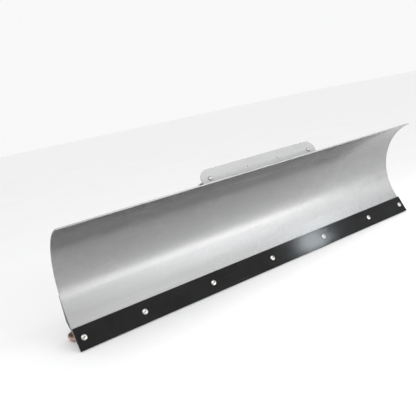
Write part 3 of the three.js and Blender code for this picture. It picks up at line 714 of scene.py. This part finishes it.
def yz(y, z):
    """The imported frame's (y, z) in metres from the section's own in millimetres."""
    return ORIGIN.y + y * MM, ORIGIN.z + z * MM


def flat(point):
    return point.y, point.z


def side_plate(outline, holes, x, thickness, edge=PLATE_EDGE):
    """A plate across the blade from a (y, z) outline, centred on x."""
    return plate(outline, holes, thickness, Matrix.Translation((x - thickness / 2, 0, 0)) @ ALONG_X, edge)


def plan_plate(outline, holes, z, thickness):
    """A level plate from an (x, y) outline, from z up."""
    return plate(outline, holes, thickness, Matrix.Translation((0, 0, z)))


def front_plate(outline, holes, y, thickness):
    """An upright plate from an (x, z) outline, from y backwards."""
    return plate(outline, holes, thickness, Matrix.Translation((0, y + thickness, 0)) @ ALONG_Y)


def soft_corners(points, *radii, steps=4):
    """A closed outline with every corner rounded, by one radius or by several in turn."""
    out = []
    for i, corner in enumerate(points):
        before, after = points[i - 1], points[(i + 1) % len(points)]
        out += rounded([before, corner, after], radii[i % len(radii)], steps)[1:-1]
    return out


WELD, WELD_STEP, WELD_WANDER = mm(2.2, 0.7, 0.35)
WELD_SIDES = 8
PUDDLE, PUDDLE_TURN = 0.12, 2.1  # how deep and how close the ripples of stacked puddles are


def puddles(i):
    return 1 + PUDDLE * sin(i * PUDDLE_TURN)


def weld(a, b):
    """A weld bead from a to b, tapered at both ends and a little unsteady."""
    a, b = Vector(a), Vector(b)
    count = max(8, int((b - a).length / WELD_STEP))
    wander = [noise.noise(a * 90 + Vector((i * 0.35, 0, 0))) * WELD_WANDER for i in range(count + 1)]
    path = [a.lerp(b, i / count) + Vector((0, 0, wander[i])) for i in range(count + 1)]
    return tube(path, WELD, WELD_SIDES,
                lambda i: min(1, (i + 1.5) / 4, (count - i + 1.5) / 4) * puddles(i))


def welds_beside(x, reach, a, b):
    """Two beads beside an upright plate at x, from a to b, each a (y, z)."""
    return [weld((x + side * reach, *a), (x + side * reach, *b)) for side in BOTH]


def weld_round(place, axis, radius, size=WELD):
    """A weld bead round a tube or pin, its end over its start."""
    matrix = frame_at(place, axis)
    count = max(24, int(2 * pi * radius / WELD_STEP))
    points = [matrix @ Vector((*about(0, 0, radius, 2 * pi * i / count), 0)) for i in range(count + 2)]
    return tube(points, size, WELD_SIDES, puddles)


def rod(a, b, radius, bevel=1.2 * MM):
    """A round bar from a to b with broken ends."""
    axis = Vector(b) - Vector(a)
    length = axis.length
    profile = [(0, 0), (radius - bevel, 0), (radius, bevel),
               (radius, length - bevel), (radius - bevel, length), (0, length)]
    return lathe(rounded(profile, bevel * 0.5, 3), a, axis, 40)


def sleeve(a, b, outer, inner, bevel=0.8 * MM, segments=48):
    """A tube from a to b with broken edges."""
    axis = Vector(b) - Vector(a)
    length = axis.length
    profile = [(inner, bevel), (inner + bevel, 0), (outer - bevel, 0), (outer, bevel)]
    profile += [(r, length - h) for r, h in reversed(profile)]
    return lathe(profile, a, axis, segments)


# ---- rail and ribs behind the sheet
RAIL_LOW, RAIL_HIGH, RAIL_THICK, RAIL_DEPTH, RAIL_INSET, RAIL_BEND = mm(50, 88, 5, 45, 20, 4)
BACK_LOWER = LOWER_RADIUS + SHEET + GAP
BACK_UPPER = UPPER_RADIUS + SHEET + GAP
STITCH, STITCH_PROUD, STITCH_ASIDE, STITCH_STEPS = 2.3 * MM, 0.4 * MM, 0.7 * MM, 40

RIB_THICK, PIVOT_RIB_THICK = mm(5, 6)
END_INSET, END_FOOT, END_PROUD, END_TOP = 0.5 * MM, 62 * MM, 8 * MM, -6.1 * DEG
END_BACK = ((84, 72), (58, 53))
OUTER_X, OUTER_DEPTH, OUTER_TOP = 470 * MM, 36 * MM, 62 * DEG
PIVOT_RIBS = {"inner": 148 * MM, "outer": 193 * MM}
PIVOT_RIB_TOP, TONGUE_LOW, TONGUE_HIGH, TONGUE = 60 * DEG, 9 * MM, 45 * MM, 10 * MM
PIVOT_RIB_BACK = ((62, 332), (108, 250), (118, 190), (164.7, 137), (164.7, 115))
PIVOT = Vector((0, *yz(128, 112)))
PIVOT_LOBE, PIVOT_HOLE, LUG_RADIUS = mm(24, 8.4, 20)


def section_arc(centre, radius, start, end, steps):
    return arc(centre.y, centre.z, radius, start, end, steps)


def back_curve(top):
    """The back of the sheet from the rail up to a polar angle of the section."""
    points = [flat(on_face(RAIL_HIGH + GAP, BEHIND_SHEET))]
    points += section_arc(LOWER_CENTRE, BACK_LOWER, FACE_TURN, min(top, LOWER_END), 36)
    if top > LOWER_END:
        points += section_arc(UPPER_CENTRE, BACK_UPPER, LOWER_END, top, 16)[1:]
    return points


def back_point(angle, proud, x):
    """A point on the sheet's back at a polar angle of the section."""
    centre, radius = (LOWER_CENTRE, BACK_LOWER) if angle <= LOWER_END else (UPPER_CENTRE, BACK_UPPER)
    return polar(centre, radius + proud, angle) + Vector((x, 0, 0))


def stitch_welds(x, half_thickness, low, high, count, length=12 * DEG, sides=BOTH):
    """Short weld beads beside a rib, spaced up the curve of the sheet."""
    beads = []
    for side in sides:
        edge = x + side * (half_thickness + STITCH_ASIDE)
        for i in range(count):
            start = low + (high - low - length) * (i / max(1, count - 1))
            path = [back_point(start + length * j / STITCH_STEPS, STITCH_PROUD, edge)
                    for j in range(STITCH_STEPS + 1)]
            beads.append(tube(path, STITCH, WELD_SIDES,
                              lambda j: min(1, (j + 1) / 3, (STITCH_STEPS - j + 1) / 3) * puddles(j)))
    return beads


def bottom_rail():
    """An angle bar along the sheet's back, rounder at its bend, stitched to the sheet."""
    near, far, under = BEHIND_SHEET, BEHIND_SHEET + RAIL_THICK, RAIL_HIGH - RAIL_THICK
    corners = [(near, RAIL_LOW), (far, RAIL_LOW), (far, under),
               (RAIL_DEPTH, under), (RAIL_DEPTH, RAIL_HIGH), (near, RAIL_HIGH)]
    corners = soft_corners(corners, PLATE_EDGE, PLATE_EDGE, RAIL_BEND, steps=5)
    outline = [flat(on_face(up, back)) for back, up in corners]
    half = BLADE_HALF - RAIL_INSET
    up, back = RAIL_HIGH + 0.5 * MM, BEHIND_SHEET + 0.6 * MM
    count, margin, length = 9, 30 * MM, 40 * MM
    parts = [side_plate(outline, [], 0, 2 * half, 0.4 * MM)]
    for i in range(count):
        x = -half + margin + i * (2 * half - 2 * margin - length) / (count - 1)
        parts.append(weld(on_face(up, back, x), on_face(up, back, x + length)))
    piece("bottom_rail_angle", parts, "galvanised", "blade", "bottom_rail")


def end_rib(side, sign):
    x = sign * (BLADE_HALF - END_INSET - RIB_THICK / 2)
    outline = [flat(on_face(END_FOOT, BEHIND_SHEET))]
    outline += section_arc(LOWER_CENTRE, BACK_LOWER, FACE_TURN, END_TOP, 16)
    outline += [flat(polar(LOWER_CENTRE, BACK_LOWER + END_PROUD, END_TOP))]
    high, low = (yz(*corner) for corner in END_BACK)
    outline += rounded([outline[-1], high, low], 6 * MM)[1:-1] + [low]
    beads = stitch_welds(x, RIB_THICK / 2, FACE_TURN, END_TOP, 1, 20 * DEG, (-sign,))
    piece(f"end_rib_plate_{side}", [side_plate(outline, [], x, RIB_THICK), *beads], "black_coat", "blade",
          f"end_rib_{side}")


def outer_rib(side, sign):
    x = sign * OUTER_X
    outline = back_curve(OUTER_TOP)
    outer = [flat(polar(UPPER_CENTRE, BACK_UPPER + OUTER_DEPTH / 4, OUTER_TOP)),
             flat(polar(UPPER_CENTRE, BACK_UPPER + OUTER_DEPTH, LOWER_END))]
    outer += section_arc(LOWER_CENTRE, BACK_LOWER + OUTER_DEPTH, LOWER_END - 3 * DEG, FACE_TURN + 9 * DEG, 24)
    outline += rounded([outline[-1], outer[0], outer[1]], 5 * MM)[1:-1] + outer[1:]
    outline += [flat(on_face(RAIL_HIGH + GAP, RAIL_DEPTH))]
    beads = stitch_welds(x, RIB_THICK / 2, FACE_TURN + 4 * DEG, OUTER_TOP - 3 * DEG, 4)
    piece(f"outer_rib_plate_{side}", [side_plate(outline, [], x, RIB_THICK), *beads], "galvanised", "blade",
          f"outer_rib_{side}")


def pivot_rib(name, x):
    """A rib that holds the pivot pin below and carries the spring plate above."""
    behind = PLATE_THICK + GAP
    outline = back_curve(PIVOT_RIB_TOP)
    outline += [flat(on_plate(TONGUE_LOW, behind)), flat(on_plate(TONGUE_HIGH, behind))]
    corners = [outline[-1], flat(on_plate(TONGUE_HIGH, behind + TONGUE))]
    corners += [yz(*corner) for corner in PIVOT_RIB_BACK]
    outline += rounded(corners, 9 * MM, 6)[1:]
    outline += arc(PIVOT.y, PIVOT.z, PIVOT_LOBE, 5 * DEG, -130 * DEG, 24)
    outline += [flat(on_face(RAIL_HIGH + GAP, RAIL_DEPTH))]
    parts = [side_plate(outline, [circle(PIVOT.y, PIVOT.z, PIVOT_HOLE)], x, PIVOT_RIB_THICK)]
    parts += stitch_welds(x, PIVOT_RIB_THICK / 2, FACE_TURN + 4 * DEG, 52 * DEG, 4)
    parts += welds_beside(x, 3.6 * MM, *(flat(on_plate(up, behind + 0.5 * MM)) for up in mm(14, 40)))
    piece(f"{name}_plate", parts, "galvanised", "blade", name)


def pivot_ribs(side, sign):
    for row, x in PIVOT_RIBS.items():
        pivot_rib(f"pivot_rib_{row}_{side}", sign * x)


bottom_rail()
both_ends(end_rib, outer_rib, pivot_ribs)


# ---- trip springs and what holds their upper ends
SPRING_RADIUS, SPRING_WIRE, COIL_START, COIL_END, HOOK_RADIUS = mm(14, 2.5, 64, 262, 9)
UPPER_BEARING, LOWER_BEARING = mm(27.2, 295.6)
ANCHOR_BOLT = ((0, -4), (1, -3.95), (1.6, -3.5), (2.4, -3.9), (4.5, -3.7), (6.6, -2.7), (7.6, -1.1),
               (7.4, -0.3), (5, -0.3), (5, 13), (0, 13))  # radius and height, in millimetres
EYE_NECK, EYE_BORE, EYE_TOP, EYE_CENTRE, EYE_RING, EYE_WIRE = mm(9, 5.2, 14, 23, 11, 4)


def spring_path(x):
    """The wire's path: the upper hook, the close coil, and the lower hook back to its tip."""
    mean, per_turn, slack = SPRING_RADIUS - SPRING_WIRE, 28, 1.01
    turns = int((COIL_END - COIL_START - 2 * SPRING_WIRE) / (2 * SPRING_WIRE * slack))
    first, last = COIL_START + SPRING_WIRE, COIL_END - SPRING_WIRE

    def at(across, lift, along):
        return on_plate(EAR_UP + lift, along, x + across)

    hook = arc(0, 0, HOOK_RADIUS, -240 * DEG, 40 * DEG, 14)
    upper = [at(a, 0, UPPER_BEARING + HOOK_RADIUS + b) for a, b in hook]
    upper += [at(1.5 * MM, 0, first - 11 * MM), at(4 * MM, 1 * MM, first - 6 * MM)]
    helix = []
    for i in range(turns * per_turn + 1):
        angle = 2 * pi * i / per_turn
        along = first + (last - first) * i / (turns * per_turn)
        helix.append(at(*about(0, 0, mean, angle), along))
    lower = [at(-a, 0, LOWER_BEARING - HOOK_RADIUS - b) for a, b in hook]
    lower += [at(1.5 * MM, 0, last + 9 * MM), at(4 * MM, -1 * MM, last + 5 * MM)]
    start = smooth_path([*upper, at(mean * 0.8, -mean * 0.5, first - 1.5 * MM), helix[0]], 4)[:-1]
    finish = smooth_path([*lower, at(mean * 0.8, mean * 0.5, last + 1.5 * MM), helix[-1]], 4)[:-1]
    return start + helix + finish[::-1]


def trip_spring(side, sign):
    x = sign * EAR_X
    coil = piece(f"trip_spring_coil_{side}", [tube(spring_path(x), SPRING_WIRE, 10)], "spring_steel", None,
                 f"trip_spring_{side}", f"trip_spring_hook_{side}", smooth=60 * DEG)
    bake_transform(coil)


def spring_anchor(side, sign):
    """The bolt through the ear and the eye nut behind it, which takes the spring's hook."""
    x = sign * EAR_X
    bolt = lathe([mm(*point) for point in ANCHOR_BOLT], on_plate(EAR_UP, 0, x), PLATE_BEHIND)
    piece(f"anchor_bolt_{side}", [bolt], "bright_zinc", "blade", f"spring_anchor_bolt_{side}")
    seat, top = on_plate(EAR_UP, PLATE_THICK + GAP, x), on_plate(EAR_UP, EYE_TOP, x)
    wire = [(EYE_RING + across, along) for across, along in circle(0, 0, EYE_WIRE, 14)]
    eye = lathe(wire, on_plate(EAR_UP, EYE_CENTRE, x), (1, 0, 0))
    piece(f"forged_eye_nut_{side}", [sleeve(seat, top, EYE_NECK, EYE_BORE), eye], "bright_zinc", "blade",
          f"spring_eye_nut_{side}")


both_ends(trip_spring, spring_anchor)


# ---- swivel frame
TUBE_Y, TUBE_Z = yz(165, 87)
TUBE_SIZE, TUBE_WALL, TUBE_HALF = mm(50, 4, 240)
TUBE_TOP, TUBE_BACK = TUBE_Z + TUBE_SIZE, TUBE_Y + TUBE_SIZE
LUG_X, LUG_WIDTH = mm(170.5, 36)
KING_Y = yz(275, 0)[0]
KING_HOLE, KING_SHANK, KING_FLATS, KING_HEAD, KING_NUT, KING_TAIL = mm(13, 11.9, 36, 15, 20, 26)
WASHER_RADIUS, WASHER_BORE, WASHER_THICK = mm(24, 12.3, 3.7)
LOCK_RADIUS, LOCK_STEP, LOCK_HOLE, LOCK_SLEEVE = 105 * MM, 12.5 * DEG, 7.7 * MM, 14 * MM
LOCK_Y = KING_Y + LOCK_RADIUS
YOKE_THICK, YOKE_HALF, YOKE_NECK, YOKE_END, YOKE_SUNK = mm(8, 45, 26, 36, 3)
YOKE_SHOULDER, YOKE_TAPER = yz(265, 0)[0], yz(320, 0)[0]
POST_THICK, POST_LOBE, POST_HOLE, BRACE_HOLE, BRACE = mm(8, 13, 7, 9.4, 9)
BRACE_Y, BRACE_Z = yz(222, 195)
POST_BACK = 298 * MM  # the hook's hole, behind the ear


def king(z):
    return 0, KING_Y, z


def lock(z):
    return 0, LOCK_Y, z


def swivel_frame():
    """The cross tube with its lugs, the two yokes round the king bolt and the lock pin's sleeve."""
    wall = TUBE_WALL
    outer = soft_corners(rectangle(TUBE_Y, TUBE_Z, TUBE_BACK, TUBE_TOP), 9 * MM)
    inner = soft_corners(rectangle(TUBE_Y + wall, TUBE_Z + wall, TUBE_BACK - wall, TUBE_TOP - wall), 5 * MM)
    parts = [side_plate(outer, [inner], 0, 2 * TUBE_HALF, 0.4 * MM)]
    seam = 0.6 * MM  # how far a weld's middle stands off the corner it fills
    for sign in BOTH:
        x = sign * LUG_X
        lug = arc(PIVOT.y, PIVOT.z, LUG_RADIUS, 90 * DEG, 270 * DEG, 32)
        lug += [(TUBE_Y + 1 * MM, TUBE_Z + 5 * MM), (TUBE_Y + 1 * MM, TUBE_TOP - 6 * MM)]
        parts.append(side_plate(lug, [circle(PIVOT.y, PIVOT.z, PIVOT_HOLE)], x, LUG_WIDTH, 1 * MM))
        y = TUBE_Y - 1 * MM
        parts += welds_beside(x, LUG_WIDTH / 2 + seam, (y, TUBE_Z + 8 * MM), (y, TUBE_TOP - 9 * MM))
    root = TUBE_BACK - YOKE_SUNK
    top = [(-YOKE_HALF, YOKE_SHOULDER), (-YOKE_HALF, root), (YOKE_HALF, root), (YOKE_HALF, YOKE_SHOULDER),
           (YOKE_NECK, YOKE_TAPER), *arc(0, LOCK_Y, YOKE_NECK, 0, 180 * DEG, 32), (-YOKE_NECK, YOKE_TAPER)]
    holes = [circle(0, KING_Y, KING_HOLE), circle(0, LOCK_Y, LOCK_HOLE)]
    parts.append(plan_plate(top, holes, TUBE_TOP - YOKE_THICK, YOKE_THICK))
    low = [(-YOKE_HALF, root), (YOKE_HALF, root)] + arc(0, KING_Y, YOKE_END, 0, 180 * DEG, 40)
    parts.append(plan_plate(low, [holes[0]], TUBE_Z, YOKE_THICK))
    parts.append(sleeve(lock(TUBE_TOP - 2 * MM), lock(yz(0, 180)[1]), LOCK_SLEEVE, LOCK_HOLE))
    parts.append(weld_round(lock(TUBE_TOP + seam), (0, 0, 1), LOCK_SLEEVE + 0.4 * MM))
    reach, y = YOKE_HALF - 2 * MM, TUBE_BACK + seam
    for z in (TUBE_TOP - seam, TUBE_Z + YOKE_THICK + seam):
        parts.append(weld((-reach, y, z), (reach, y, z)))
    piece("swivel_frame_welded", parts, "black_coat", "swivel", "swivel_frame")


def spring_post(side, sign):
    x = sign * EAR_X
    hole = on_plate(EAR_UP, POST_BACK)
    outline = [(TUBE_Y + 4 * MM, TUBE_TOP + GAP), (TUBE_BACK - 2 * MM, TUBE_TOP + GAP)]
    outline += arc(hole.y, hole.z, POST_LOBE, -20 * DEG, 155 * DEG, 32)
    holes = [circle(hole.y, hole.z, POST_HOLE), circle(BRACE_Y, BRACE_Z, BRACE_HOLE)]
    seam = 0.8 * MM
    reach, z = POST_THICK / 2 + seam, TUBE_TOP + seam
    parts = [side_plate(outline, holes, x, POST_THICK)]
    parts += welds_beside(x, reach, (TUBE_Y + 6 * MM, z), (TUBE_BACK - 4 * MM, z))
    for edge in BOTH:
        parts.append(weld_round((x + edge * reach, BRACE_Y, BRACE_Z), (1, 0, 0), BRACE + seam, 1.8 * MM))
    piece(f"spring_post_plate_{side}", parts, "black_coat", "swivel", f"spring_post_{side}")


def post_brace():
    end = EAR_X + 8 * MM
    bar = rod((-end, BRACE_Y, BRACE_Z), (end, BRACE_Y, BRACE_Z), BRACE)
    piece("post_brace_bar", [bar], "black_coat", "swivel", "spring_post_brace")


swivel_frame()
post_brace()
both_ends(spring_post)


# ---- pivot pins and hairpins
PIN_INNER, PIN_HEAD_THICK, PIN_HEAD, PIN, HAIRPIN_X, HAIRPIN_WIRE = mm(144.7, 5, 12, 8, 203, 1.4)
HAIRPIN = ((0, -16), (0, -8), (0, 4), (0, 14), (4, 22), (10, 24), (15, 18),
           (12, 11), (11.5, 4), (12, -4), (9.5, -10), (13, -17))  # (y, z) from the pin, in millimetres


def pivot_pin(side, sign):
    def at(x):
        return sign * x, PIVOT.y, PIVOT.z

    head = rod(at(PIN_INNER - PIN_HEAD_THICK), at(PIN_INNER), PIN_HEAD)
    pin = rod(at(PIN_INNER - 2 * MM), at(HAIRPIN_X + 6 * MM), PIN, 1.6 * MM)
    piece(f"clevis_pin_{side}", [head, pin], "bright_zinc", "blade", f"pivot_pin_{side}")
    wire = smooth_path([Vector(at(HAIRPIN_X)) + Vector((0, y, z)) * MM for y, z in HAIRPIN], 6)
    piece(f"hairpin_wire_{side}", [tube(wire, HAIRPIN_WIRE, 10)], "spring_steel", "blade",
          f"pivot_hairpin_{side}")


both_ends(pivot_pin)


# ---- skid shoes
SKID_X, SKID_Y = 717 * MM, yz(112, 0)[0]
SLEEVE_INNER, SLEEVE_OUTER = mm(10.5, 17)
SLEEVE_LOW, SLEEVE_HIGH = yz(0, 46)[1], yz(0, 96)[1]
BRACKET_BACK = ((98.25, 96), (98.25, 57))  # inside the sleeve's wall
BRACKET_TOP = -18 * DEG
SHOE_TOP, SHOE_BOSS, SPACERS = 138.07, 26, 3
SHOE = ((0, 0), (24, 0), (29, 0.35), (33, 1.2), (36, 2.6), (38.5, 4.2), (40.7, 6.3), (42.3, 9), (43.5, 11.8),
        (44, 14.5), (43.8, 16.2), (42.8, 17), (41.3, 16.9), (40.2, 15.7), (38.6, 12), (36, 8.9), (32.5, 7.1),
        (29, 6.5), (20, 6.4), (17, 6.8), (15.4, 8.6), (14.6, 12), (14.4, 22), (14.1, 24.6), (13, SHOE_BOSS),
        (10.4, SHOE_BOSS), (10, 26.6), (10, SHOE_TOP - 2), (9.3, SHOE_TOP - 0.6), (8, SHOE_TOP),
        (0, SHOE_TOP))  # radius and height, in millimetres
LYNCH_Z = yz(0, 125)[1]
LYNCH, LYNCH_REACH, LYNCH_LOOP, LYNCH_WIRE, LYNCH_HEAD = mm(3, 21, 17, 2, 6)


def skid_bracket(side, sign):
    x = sign * SKID_X
    outline = back_curve(BRACKET_TOP)
    outline += [*(yz(*corner) for corner in BRACKET_BACK), flat(on_face(RAIL_HIGH + GAP, RAIL_DEPTH + GAP))]
    parts = [side_plate(outline, [], x, 6 * MM),
             sleeve((x, SKID_Y, SLEEVE_LOW), (x, SKID_Y, SLEEVE_HIGH), SLEEVE_OUTER, SLEEVE_INNER)]
    y = SKID_Y - SLEEVE_OUTER + 0.2 * MM
    parts += welds_beside(x, 3.4 * MM, (y, SLEEVE_LOW + 12 * MM), (y, SLEEVE_HIGH - 3 * MM))
    parts += stitch_welds(x, 3 * MM, FACE_TURN + 1 * DEG, BRACKET_TOP, 1, 9 * DEG)
    piece(f"skid_bracket_welded_{side}", parts, "black_coat", "blade", f"skid_bracket_{side}")


def skid_shoe(side, sign):
    """The dished shoe on its post, its rim unevenly worn, and the spacers under the sleeve."""
    x = sign * SKID_X
    body = lathe([mm(*point) for point in SHOE], (x, SKID_Y, 0), (0, 0, 1), 96)
    for v in body.vertices:
        spread = Vector((v.co.x - x, v.co.y - SKID_Y, 0))
        if spread.length > 12 * MM:
            v.co += spread.normalized() * noise.noise(v.co * 70) * 0.35 * MM
    piece(f"skid_shoe_cast_{side}", [body], "rusty_iron", f"{side}_skid", f"skid_shoe_{side}")
    bottom = SHOE_BOSS * MM + GAP
    height = (SLEEVE_LOW - GAP - bottom) / SPACERS
    parts = []
    for i in range(SPACERS):
        low, high = bottom + i * height, bottom + (i + 1) * height - 0.05 * MM
        parts.append(sleeve((x, SKID_Y, low), (x, SKID_Y, high), SLEEVE_OUTER, SLEEVE_INNER, 0.7 * MM))
    piece(f"skid_spacers_{side}", parts, "bright_zinc", f"{side}_skid", f"skid_spacer_{side}")


def lynch_pin(side, sign):
    """A pin across the post with a wire loop snapped halfway round it."""
    def at(across, along=0.0):
        return sign * (SKID_X + across), SKID_Y + sign * along, LYNCH_Z

    pin = rod(at(-LYNCH_REACH), at(LYNCH_REACH), LYNCH, 0.9 * MM)
    head = rod(at(LYNCH_LOOP - 3 * MM), at(LYNCH_REACH + 2 * MM), LYNCH_HEAD)
    loop = [at(*point) for point in arc(0, 0, LYNCH_LOOP, 0, -180 * DEG, 36)]
    piece(f"lynch_pin_{side}_bent", [pin, head, tube(loop, LYNCH_WIRE, 10)], "bright_zinc", f"{side}_skid",
          f"skid_lynch_pin_{side}")


both_ends(skid_bracket, skid_shoe, lynch_pin)


# ---- head on the push tubes
HUB_LOW = TUBE_Z + YOKE_THICK + GAP
SECTOR_TOP = TUBE_TOP - YOKE_THICK - GAP
SECTOR_RADIUS, SECTOR_SPREAD, SECTOR_THICK = 130 * MM, 36 * DEG, 8 * MM
SECTOR_LOW = SECTOR_TOP - SECTOR_THICK
HUB, NOSE, CHEEK_X, CHEEK_THICK = mm(28, 36, 31, 8)
FLANGE_THICK, FLANGE_HALF, FLANGE_HOLE, FLANGE_HOLE_X, FLANGE_HOLE_INSET = mm(10, 85, 6.5, 62, 18)
FLANGE_FRONT = yz(450, 0)[0] - FLANGE_THICK
FLANGE_LOW, FLANGE_HIGH = yz(0, 60)[1], yz(0, 170)[1]


def lock_place(step):
    """(x, y) of a lock hole, counted in steps from the middle one towards -X."""
    return about(0, KING_Y, LOCK_RADIUS, 90 * DEG + step * LOCK_STEP)


def push_head():
    """The hub and sector plate, the two cheeks and the flange, welded."""
    outline = arc(0, KING_Y, NOSE, 180 * DEG, 360 * DEG, 32)
    outline += arc(0, KING_Y, SECTOR_RADIUS, 90 * DEG - SECTOR_SPREAD, 90 * DEG + SECTOR_SPREAD, 40)
    holes = [circle(0, KING_Y, KING_HOLE)]
    holes += [circle(*lock_place(step), LOCK_HOLE, 32) for step in (-2, -1, 0, 1, 2)]
    seam = 0.6 * MM
    parts = [plan_plate(outline, holes, SECTOR_LOW, SECTOR_THICK)]
    parts.append(sleeve(king(HUB_LOW), king(SECTOR_TOP - 2 * MM), HUB, KING_HOLE))
    parts.append(weld_round(king(SECTOR_LOW - seam), (0, 0, 1), HUB + 0.4 * MM))
    corners = rectangle(-FLANGE_HALF, FLANGE_LOW, FLANGE_HALF, FLANGE_HIGH)
    bolts = [circle(sign * FLANGE_HOLE_X, z, FLANGE_HOLE, 32)
             for sign in BOTH for z in (FLANGE_LOW + FLANGE_HOLE_INSET, FLANGE_HIGH - FLANGE_HOLE_INSET)]
    parts.append(front_plate(soft_corners(corners, 6 * MM), bolts, FLANGE_FRONT, FLANGE_THICK))
    front, under = FLANGE_FRONT + 1 * MM, SECTOR_LOW + 4 * MM
    cheek = [(KING_Y, HUB_LOW), (front, HUB_LOW), (front, FLANGE_HIGH - 12 * MM),
             (KING_Y + SECTOR_RADIUS + 6 * MM, under), (KING_Y, under)]
    for sign in BOTH:
        x = sign * CHEEK_X
        pin_way = rod((*lock_place(-sign), HUB_LOW - 1 * MM), (*lock_place(-sign), SECTOR_TOP), LOCK_HOLE)
        parts.append(carved(side_plate(cheek, [], x, CHEEK_THICK), pin_way))
        reach, y, z = CHEEK_THICK / 2 + 0.8 * MM, FLANGE_FRONT - seam, SECTOR_LOW - seam
        parts += welds_beside(x, reach, (y, HUB_LOW + 3 * MM), (y, FLANGE_HIGH - 15 * MM))
        parts += welds_beside(x, reach, (KING_Y + NOSE, z), (KING_Y + 84 * MM, z))
    piece("push_head_welded", parts, "black_coat", "push_head", "push_head")


def hex_block(flats, low, high):
    """A hexagon with the round chamfer of a bolt head at its top, about the king axis."""
    around, height = 72, high - low
    shares = ((1, 0), (1, height - 2 * MM), (0.92, height))
    loops = [(hexagon(flats, share, around), h) for share, h in shares]
    middle = [(0, 0)] * around
    return stacked([(middle, 0), *loops, (middle, height)], king(low), (0, 0, 1))


def king_bolt():
    washer_low = TUBE_TOP + GAP
    washer_top = washer_low + WASHER_THICK
    seat, nut_top = washer_top + GAP, TUBE_Z - GAP
    shank = rod(king(nut_top - 22 * MM), king(seat + 1 * MM), KING_SHANK)
    thread = threaded(king(nut_top - KING_TAIL), (0, 0, 1), 12 * MM, 2.5 * MM, 1.3 * MM, 0, KING_TAIL)
    head = hex_block(KING_FLATS, seat, seat + KING_HEAD)
    piece("king_bolt_threaded", [shank, thread, head], "bright_zinc", "push_head", "king_bolt")
    nut = hex_block(KING_FLATS, nut_top - KING_NUT, nut_top)
    piece("king_nut_hex", [nut], "bright_zinc", "push_head", "king_nut")
    washer = sleeve(king(washer_low), king(washer_top), WASHER_RADIUS, WASHER_BORE, 0.6 * MM, 64)
    piece("king_washer_flat", [washer], "bright_zinc", "push_head", "king_washer")


def lock_pin():
    tip, shoulder, top, handle = (yz(0, h)[1] for h in (130, 196, 218, 207))
    neck, height = (shoulder - tip) / MM, (top - tip) / MM
    profile = [(0, 0), (4, 0), (5.4, 0.6), (7, 4), (7, neck), (10.4, neck),
               (11, neck + 0.6), (11, height - 2), (9, height), (0, height)]
    body = lathe([mm(*point) for point in profile], lock(tip), (0, 0, 1))
    piece("lock_pin_turned", [body], "bright_zinc", "lock_pin", "lock_pin")
    half = 42 * MM
    bar = rod((-half, LOCK_Y, handle), (half, LOCK_Y, handle), 5 * MM, 2.2 * MM)
    piece("lock_pin_handle_bar", [bar], "bright_zinc", "lock_pin", "lock_pin_handle")


push_head()
king_bolt()
lock_pin()


# ---- floor
FLOOR_HALF, FLOOR_DROP = 30, 0.5 * MM


def floor():
    """A plain floor, just under the bar and the shoes so that nothing flickers."""
    data = bpy.data.meshes.new("floor")
    corners = rectangle(-FLOOR_HALF, -FLOOR_HALF, FLOOR_HALF, FLOOR_HALF)
    data.from_pydata([(x, y, 0) for x, y in corners], [], [(0, 1, 2, 3)])
    data.materials.append(material(floor_paint))
    obj = new_object("floor", data)
    obj.location.z = -FLOOR_DROP


floor()
